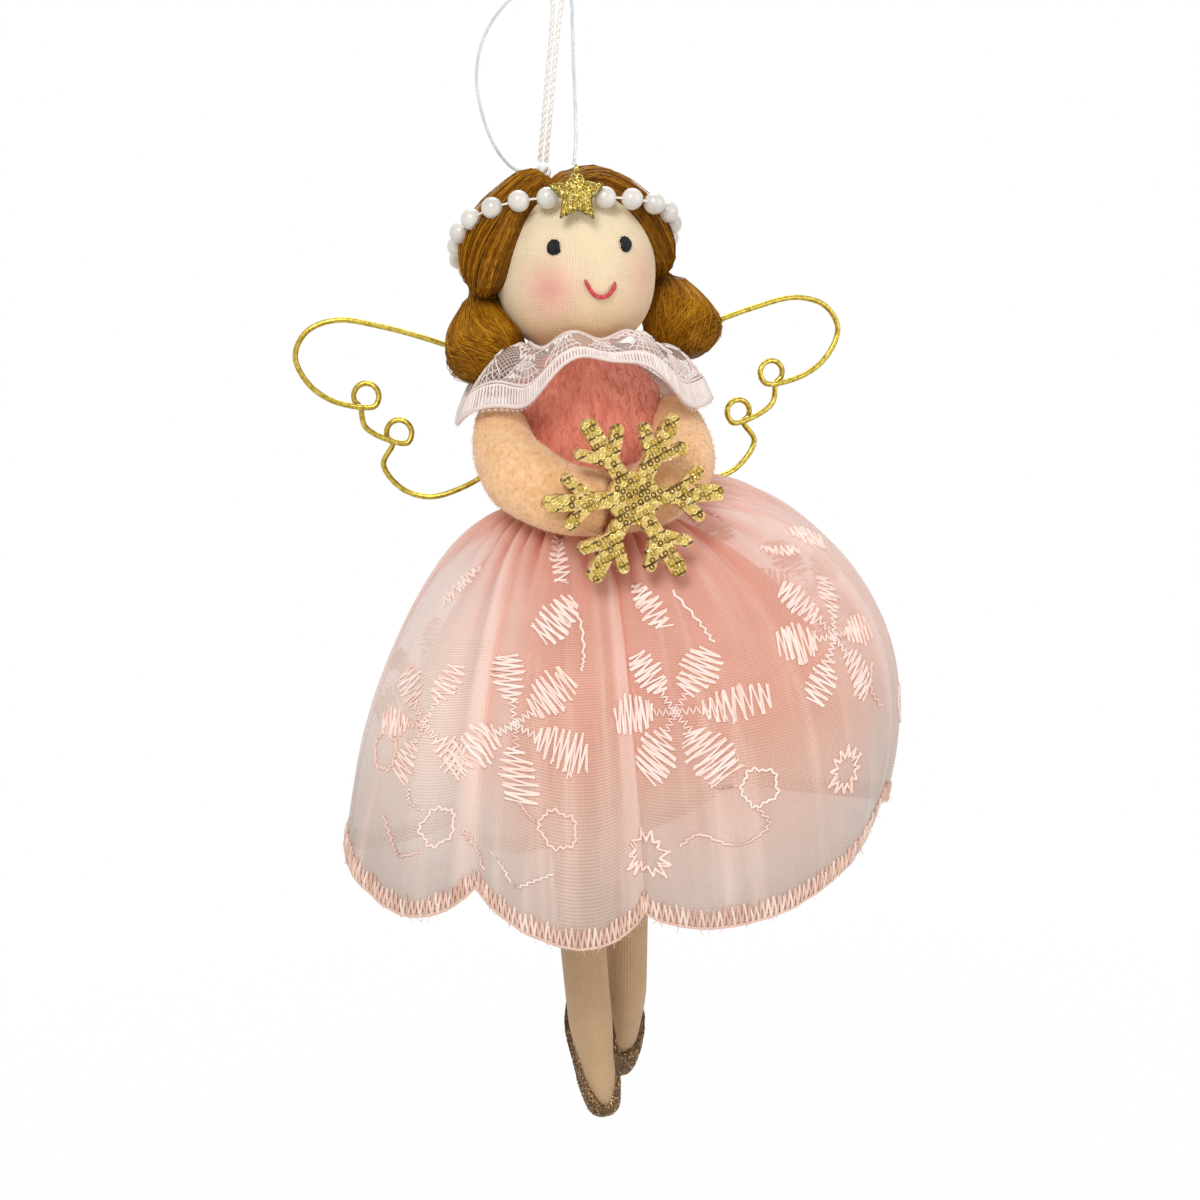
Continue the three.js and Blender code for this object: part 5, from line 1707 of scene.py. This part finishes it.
# %% [markdown]
# ## Embroidery
# The organza is embroidered with pink thread before it is sewn: open zig-zag flowers, leaves on wavy
# stems and small rings. Each is drawn flat in millimetres about its own middle, and one function lays it
# on the skirt. A bump could only hint at thread, and these strokes stand off the cloth.

# %% Flowers, leaves and rings
FLOWERS = (  # turn, share down, way of the first petal, petal length, petals
    (-129, 0.67, -140, 10.2, 5), (-75, 0.65, -3, 10.2, 6), (-154, 0.68, 75, 8.2, 5), (-33, 0.58, -10, 9, 6),
    (20, 0.62, 15, 9.5, 6), (62, 0.66, 40, 9.5, 6), (105, 0.64, 5, 9.5, 6), (143, 0.66, 30, 8.5, 6))
LEAVES = (  # turn, share down, way of the tip, half width
    (-117, 0.43, 230, 3), (-78, 0.41, -65, 2.2), (-14, 0.37, -45, 2.8), (-29, 0.35, -30, 1.2),
    (-119, 0.25, -75, 1.6), (-158, 0.37, 245, 1.4), (35, 0.42, 70, 3), (85, 0.45, 110, 3), (128, 0.43, 60, 3))
SPIKED_RINGS = ((-38, 0.83), (-88, 0.9), (45, 0.84), (140, 0.84))
LOOPS = ((-116, 0.83), (-147, 0.86), (-165, 0.76), (-58, 0.8), (-5, 0.82), (92, 0.85))
STEMS = (((-114, 0.39), (-108, 0.44), (-107, 0.52), (-108, 0.55)),
         ((-68, 0.38), (-63, 0.47), (-61, 0.52)),
         ((-127, 0.8), (-124, 0.82), (-121, 0.83)),
         ((-134, 0.91), (-131, 0.92), (-128, 0.94), (-123, 0.92), (-118, 0.9)),
         ((-155, 0.8), (-154, 0.82), (-151, 0.83)),
         ((-161, 0.86), (-158, 0.89), (-156, 0.91), (-151, 0.9)),
         ((-141, 0.88), (-138, 0.92), (-136, 0.95)),
         ((-69, 0.78), (-66, 0.79), (-63, 0.79)),
         ((-59, 0.83), (-57, 0.86), (-61, 0.88), (-66, 0.88), (-73, 0.86), (-78, 0.88)),
         ((-24, 0.68), (-27, 0.72), (-24, 0.77)))
PETAL_APART, PETAL_HALF, PETAL_START = 60, 3.7, 4.2
LEAF_LENGTH = 9.5
STROKE_PITCH, STROKES_LAID = 0.62, 2
SPIKES, SPIKE_IN, SPIKE_OUT = 12, 2.5, 4.4
LOOP_LOBES, LOOP_R = 5, 3.6
STITCH_LIFT = 0.18


def flat_on_skirt(turn, down):
    """A function that lays flat millimetres, right and up from a middle, on the organza."""
    turn = math.radians(turn)
    step = 0.02
    wide = (veil_spot(turn + step, down) - veil_spot(turn - step, down)).length / (2 * step) / MM
    tall = (veil_spot(turn, down + step) - veil_spot(turn, down - step)).length / (2 * step) / MM
    return lambda right, up: veil_spot(turn + right / wide, min(1.0, down - up / tall), STITCH_LIFT)


def stitched(lay, flat, steps=4):
    """A line of stitches through flat points, dense enough to follow the cloth."""
    line = []
    for a, b in zip(flat, flat[1:]):
        line += [lay(*(a + (b - a) * k / steps)) for k in range(steps)]
    return [*line, lay(*flat[-1])]


def loose_strokes(lay, flat, rng):
    """Each stroke of a zig-zag as threads of its own, which lie a little apart."""
    for a, b in zip(flat, flat[1:]):
        for _ in range(STROKES_LAID):
            ends = [end + Vector((rng.gauss(0, 0.17), rng.gauss(0, 0.17))) for end in (a, b)]
            yield stitched(lay, ends, 5)


def zigzag_leaf(lay, length, half, angle, start, rng):
    """A leaf or petal of zig-zag strokes, with a few small stitches that run to the middle of the flower."""
    way = Vector((math.cos(angle), math.sin(angle)))
    side = Vector((-way.y, way.x))
    count = int(length / STROKE_PITCH)
    flat = []
    for k in range(count + 1):
        share = k / count
        wide = half * math.sin(math.pi * (0.66 * share + 0.12)) ** 0.9 * rng.uniform(0.8, 1.15)
        forth = start + length * share + rng.uniform(-0.15, 0.15)
        flat.append(way * forth + side * wide * (1 if k % 2 else -1))
    yield from loose_strokes(lay, flat, rng)
    yield stitched(lay, [way * start * k / 7 + side * 0.7 * (-1) ** k for k in range(8)], 2)


def ring_stitches(lay, rng):
    """A ring of radiating stitches."""
    points = []
    for k in range(2 * SPIKES + 1):
        radius = (SPIKE_OUT if k % 2 else SPIKE_IN) * rng.uniform(0.9, 1.1)
        angle = math.pi * k / SPIKES
        points.append(Vector((radius * math.cos(angle), radius * math.sin(angle))))
    return loose_strokes(lay, points, rng)


def loop_stitches(lay, rng):
    """A small lobed loop in short running stitches."""
    points = []
    for k in range(31):
        angle = 2 * math.pi * k / 30
        radius = LOOP_R * (0.82 + 0.18 * abs(math.sin(LOOP_LOBES * angle / 2))) + 0.28 * (-1) ** k
        points.append(Vector((radius * math.cos(angle), radius * math.sin(angle))) * rng.uniform(0.96, 1.04))
    return stitched(lay, points, 2)


def make_embroidery():
    rng = random.Random(53)
    satin, thin = [], []
    for turn, down, first, length, petals in FLOWERS:
        lay = flat_on_skirt(turn, down)
        for k in range(petals):
            angle = math.radians(first + PETAL_APART * k + rng.uniform(-5, 5))
            half = PETAL_HALF * length / 10 * rng.uniform(0.75, 1.1)
            satin += zigzag_leaf(lay, length * rng.uniform(0.85, 1.05), half, angle, PETAL_START, rng)
    for turn, down, angle, half in LEAVES:
        satin += zigzag_leaf(flat_on_skirt(turn, down), LEAF_LENGTH, half, math.radians(angle), -4.5, rng)
    for turn, down in SPIKED_RINGS:
        satin += ring_stitches(flat_on_skirt(turn, down), rng)
    for turn, down in LOOPS:
        thin.append(loop_stitches(flat_on_skirt(turn, down), rng))
    for stem in STEMS:
        route = through([Vector((math.radians(t), d, 0)) for t, d in stem], 6)
        thin.append([veil_spot(p.x + 0.008 * (-1) ** k, p.y, STITCH_LIFT) for k, p in enumerate(route)])
    pieces = []
    for name, lines, radius in (("satin", satin, 0.21), ("stem", thin, 0.26)):
        tones = [rng.uniform(0.2, 1.0) for _ in lines]
        piece = threads(f"embroidery_{name}", lines, radius * MM, PINK_THREAD, 5, tones)
        pieces.append(dress(piece, "torso", "organza"))
    return pieces


# %% [markdown]
# The hem is overlocked by machine: a close zig-zag over the raw edge, with cut threads of the weave that
# fray out below it.

# %% Hem
HEM_STITCH, HEM_PITCH, FRAYS = 3.4, 0.56, 900


def hem_turns(pitch):
    """Turns along the hem that lie about a pitch apart."""
    turns, turn = [], 0.0
    while turn < 2 * math.pi:
        turns.append(turn)
        near = (veil_spot(turn + 0.004, 1.0) - veil_spot(turn, 1.0)).length / MM / 0.004
        turn += pitch / near
    return turns


def hem_strokes(turns, rng):
    """Slanting strokes from the edge up into the cloth."""
    strokes = []
    for number, (turn, after) in enumerate(zip(turns, turns[1:])):
        tall = (veil_spot(turn, 1.0) - veil_spot(turn, 0.98)).length / MM / 0.02
        reach = HEM_STITCH * rng.uniform(0.75, 1.15) / tall
        ends = (turn, after) if number % 2 else (after, turn)
        stroke = []
        for k in range(5):
            share = k / 4
            lift = 0.16 + 0.16 * math.sin(math.pi * share)
            stroke.append(veil_spot(ends[0] + (ends[1] - ends[0]) * share, 1 - reach * share, lift))
        strokes.append(stroke)
    return strokes


def hem_frays(rng):
    """Cut threads of the weave that hang out below the edge."""
    frays = []
    for _ in range(FRAYS):
        turn = rng.uniform(0, 2 * math.pi)
        length = rng.choice((0.5, 0.8, 1.1, 1.5)) * MM
        way = Vector((rng.gauss(0, 0.5), rng.gauss(0, 0.5), -1)).normalized() * length
        root = veil_spot(turn, rng.uniform(0.985, 1.0), 0.1)
        bend = Vector((rng.gauss(0, 1), rng.gauss(0, 1), 0)) * 0.25 * length
        frays.append([root, root + way * 0.5, root + way + bend])
    return frays


def make_hem():
    rng = random.Random(59)
    turns = hem_turns(HEM_PITCH)
    edge = [veil_spot(turn, 1.0, 0.15) for turn in turns]
    satin = hem_strokes(turns, rng)
    fray = hem_frays(rng)
    pieces = []
    for name, lines, radius in (("stitches", satin, 0.27), ("edge", [edge], 0.3), ("fray", fray, 0.05)):
        tones = [rng.uniform(0.2, 0.95) for _ in lines]
        piece = threads(f"hem_{name}", lines, radius * MM, HEM_THREAD, 5, tones)
        pieces.append(dress(piece, "torso", "organza"))
    return pieces


trims = make_embroidery() + make_hem()

# %% [markdown]
# ## Legs and slippers
# The legs are stuffed knit tubes that hang from the hips, and the feet are dipped in glue and brown
# glitter. The slipper's edge is low over the instep and high at the heel. A shoe modelled alone might cut
# through the foot, so it is the leg's own rings, a little larger.

# %% Legs
HIP_Z, LEG_LENGTH, LEFT_SHORTER, STRIDE, APART = -62.5, 99.7, 3, 5.5, 1.05
LEG_STATIONS = ((0, 4.2, 0), (0.3, 4.5, 0.2), (0.68, 4.2, 0.7), (0.86, 3.3, 0.8), (1, 2.2, 1.4))
LEG_ROUND = 0.95
SHOE_HEEL, SHOE_INSTEP, SHOE_WALL, SHOE_SLOPE = 17, 5, 0.9, math.radians(61)


def leg_line(hand, longer=0.0):
    length = LEG_LENGTH - (LEFT_SHORTER if hand > 0 else 0) + longer
    return through([spot(hand * (girth + APART), hand * STRIDE * pace, HIP_Z - length * down)
                    for down, girth, pace in LEG_STATIONS], 24)


def leg_girth(t):
    for (low, a, _), (high, b, _) in zip(LEG_STATIONS, LEG_STATIONS[1:]):
        if t <= high:
            break
    tip = max(0, (t - LEG_ROUND) / (1 - LEG_ROUND))
    return (a + (b - a) * smoothstep(low, high, t)) * math.sqrt(max(0.0, 1.02 - tip * tip))


def leg_rows(hand, skin, longer=0.0, sides=36):
    line = leg_line(hand, longer)
    shares = [k / (len(line) - 1) for k in range(len(line))]
    return rings_along(line, [(leg_girth(t) + skin) * MM for t in shares], sides)


def shaded_leg_colour(tree):
    # Darker up under the skirt and towards the toes: painted shade.
    share = ranged(tree, object_height(tree), -0.22, -0.16)
    return ramp(tree, share, (0.0, srgb(196, 164, 126)), (0.6, srgb(205, 172, 134)),
                (1.0, srgb(196, 152, 116)))


def make_leg(side, hand, skin):
    rows = leg_rows(hand, 0)
    hip_r = LEG_STATIONS[0][1]
    hip = spot(hand * (hip_r + APART), 0, HIP_Z)
    dome = []
    for k in range(1, 7):
        rise = math.radians(14 * k)
        lift = Vector((0, 0, hip_r * math.sin(rise) * MM))
        dome.append([hip + (place - hip) * math.cos(rise) + lift for place in rows[0]])
    rows = [*reversed(dome), *rows]
    uvs = lambda i, j: (j / 36 * 27, i * 0.95)
    leg = outward(surface(f"leg_knit_{side}", rows, skin, caps=True, uvs=uvs))
    dress(leg, f"leg_{side}", "knit_skin", f"leg_{side}")


def make_slipper(side, hand, bed, flakes):
    """The leg's own rows, a little larger, up to a sloping edge."""
    line = leg_line(hand)
    toe = line[-1]
    middle = Vector((toe.x, BALL.y + 0.7 * (toe.y - BALL.y), toe.z + (SHOE_HEEL + SHOE_INSTEP) / 2 * MM))
    edge_normal = Vector((0, -math.sin(SHOE_SLOPE), math.cos(SHOE_SLOPE)))
    outer = leg_rows(hand, SHOE_WALL, 0.9, 48)
    columns = []
    for j in range(48):
        column = [row[j] for row in outer]
        below = [k for k, place in enumerate(column) if (place - middle).dot(edge_normal) > 0]
        top = max(below) + 1 if below else 0
        shown = even(column[top:], 26)
        tucked = shown[0] + (line[min(top, len(line) - 1)] - shown[0]) * 0.3
        columns.append([tucked, *shown])
    rows = [list(row) for row in zip(*columns)]
    slipper = outward(surface(f"slipper_form_{side}", rows, bed))
    dress(slipper, f"leg_{side}", "glitter_brown", f"slipper_{side}")
    sparkle = glittered(f"slipper_glitter_{side}", slipper, 9e6, 0.24 * MM, 0.45, flakes)
    dress(sparkle, f"leg_{side}", "glitter_brown")


leg_skin = knit("leg_knit", shaded_leg_colour, 0.6, 0.5, 0.1 * MM)
brown_bed = glue_finish("brown_bed", srgb(70, 46, 20), srgb(114, 80, 42))
brown_flake = flake_finish("brown_flake", srgb(58, 36, 14), srgb(122, 86, 44), srgb(220, 182, 114), 0.6)
for side, hand in SIDES:
    make_leg(side, hand, leg_skin)
    make_slipper(side, hand, brown_bed, brown_flake)

# %% [markdown]
# ## Filling
# The foam ball and the wadding stay inside and can't be seen, but they keep a finish of their own.

# %% Hidden filling
foam = soft_cloth("white_foam", srgb(226, 224, 218), srgb(248, 247, 244), 600)
for name in ("head_core", "torso_filling"):
    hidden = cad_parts[name]
    hidden.data.materials.clear()
    hidden.data.materials.append(foam)
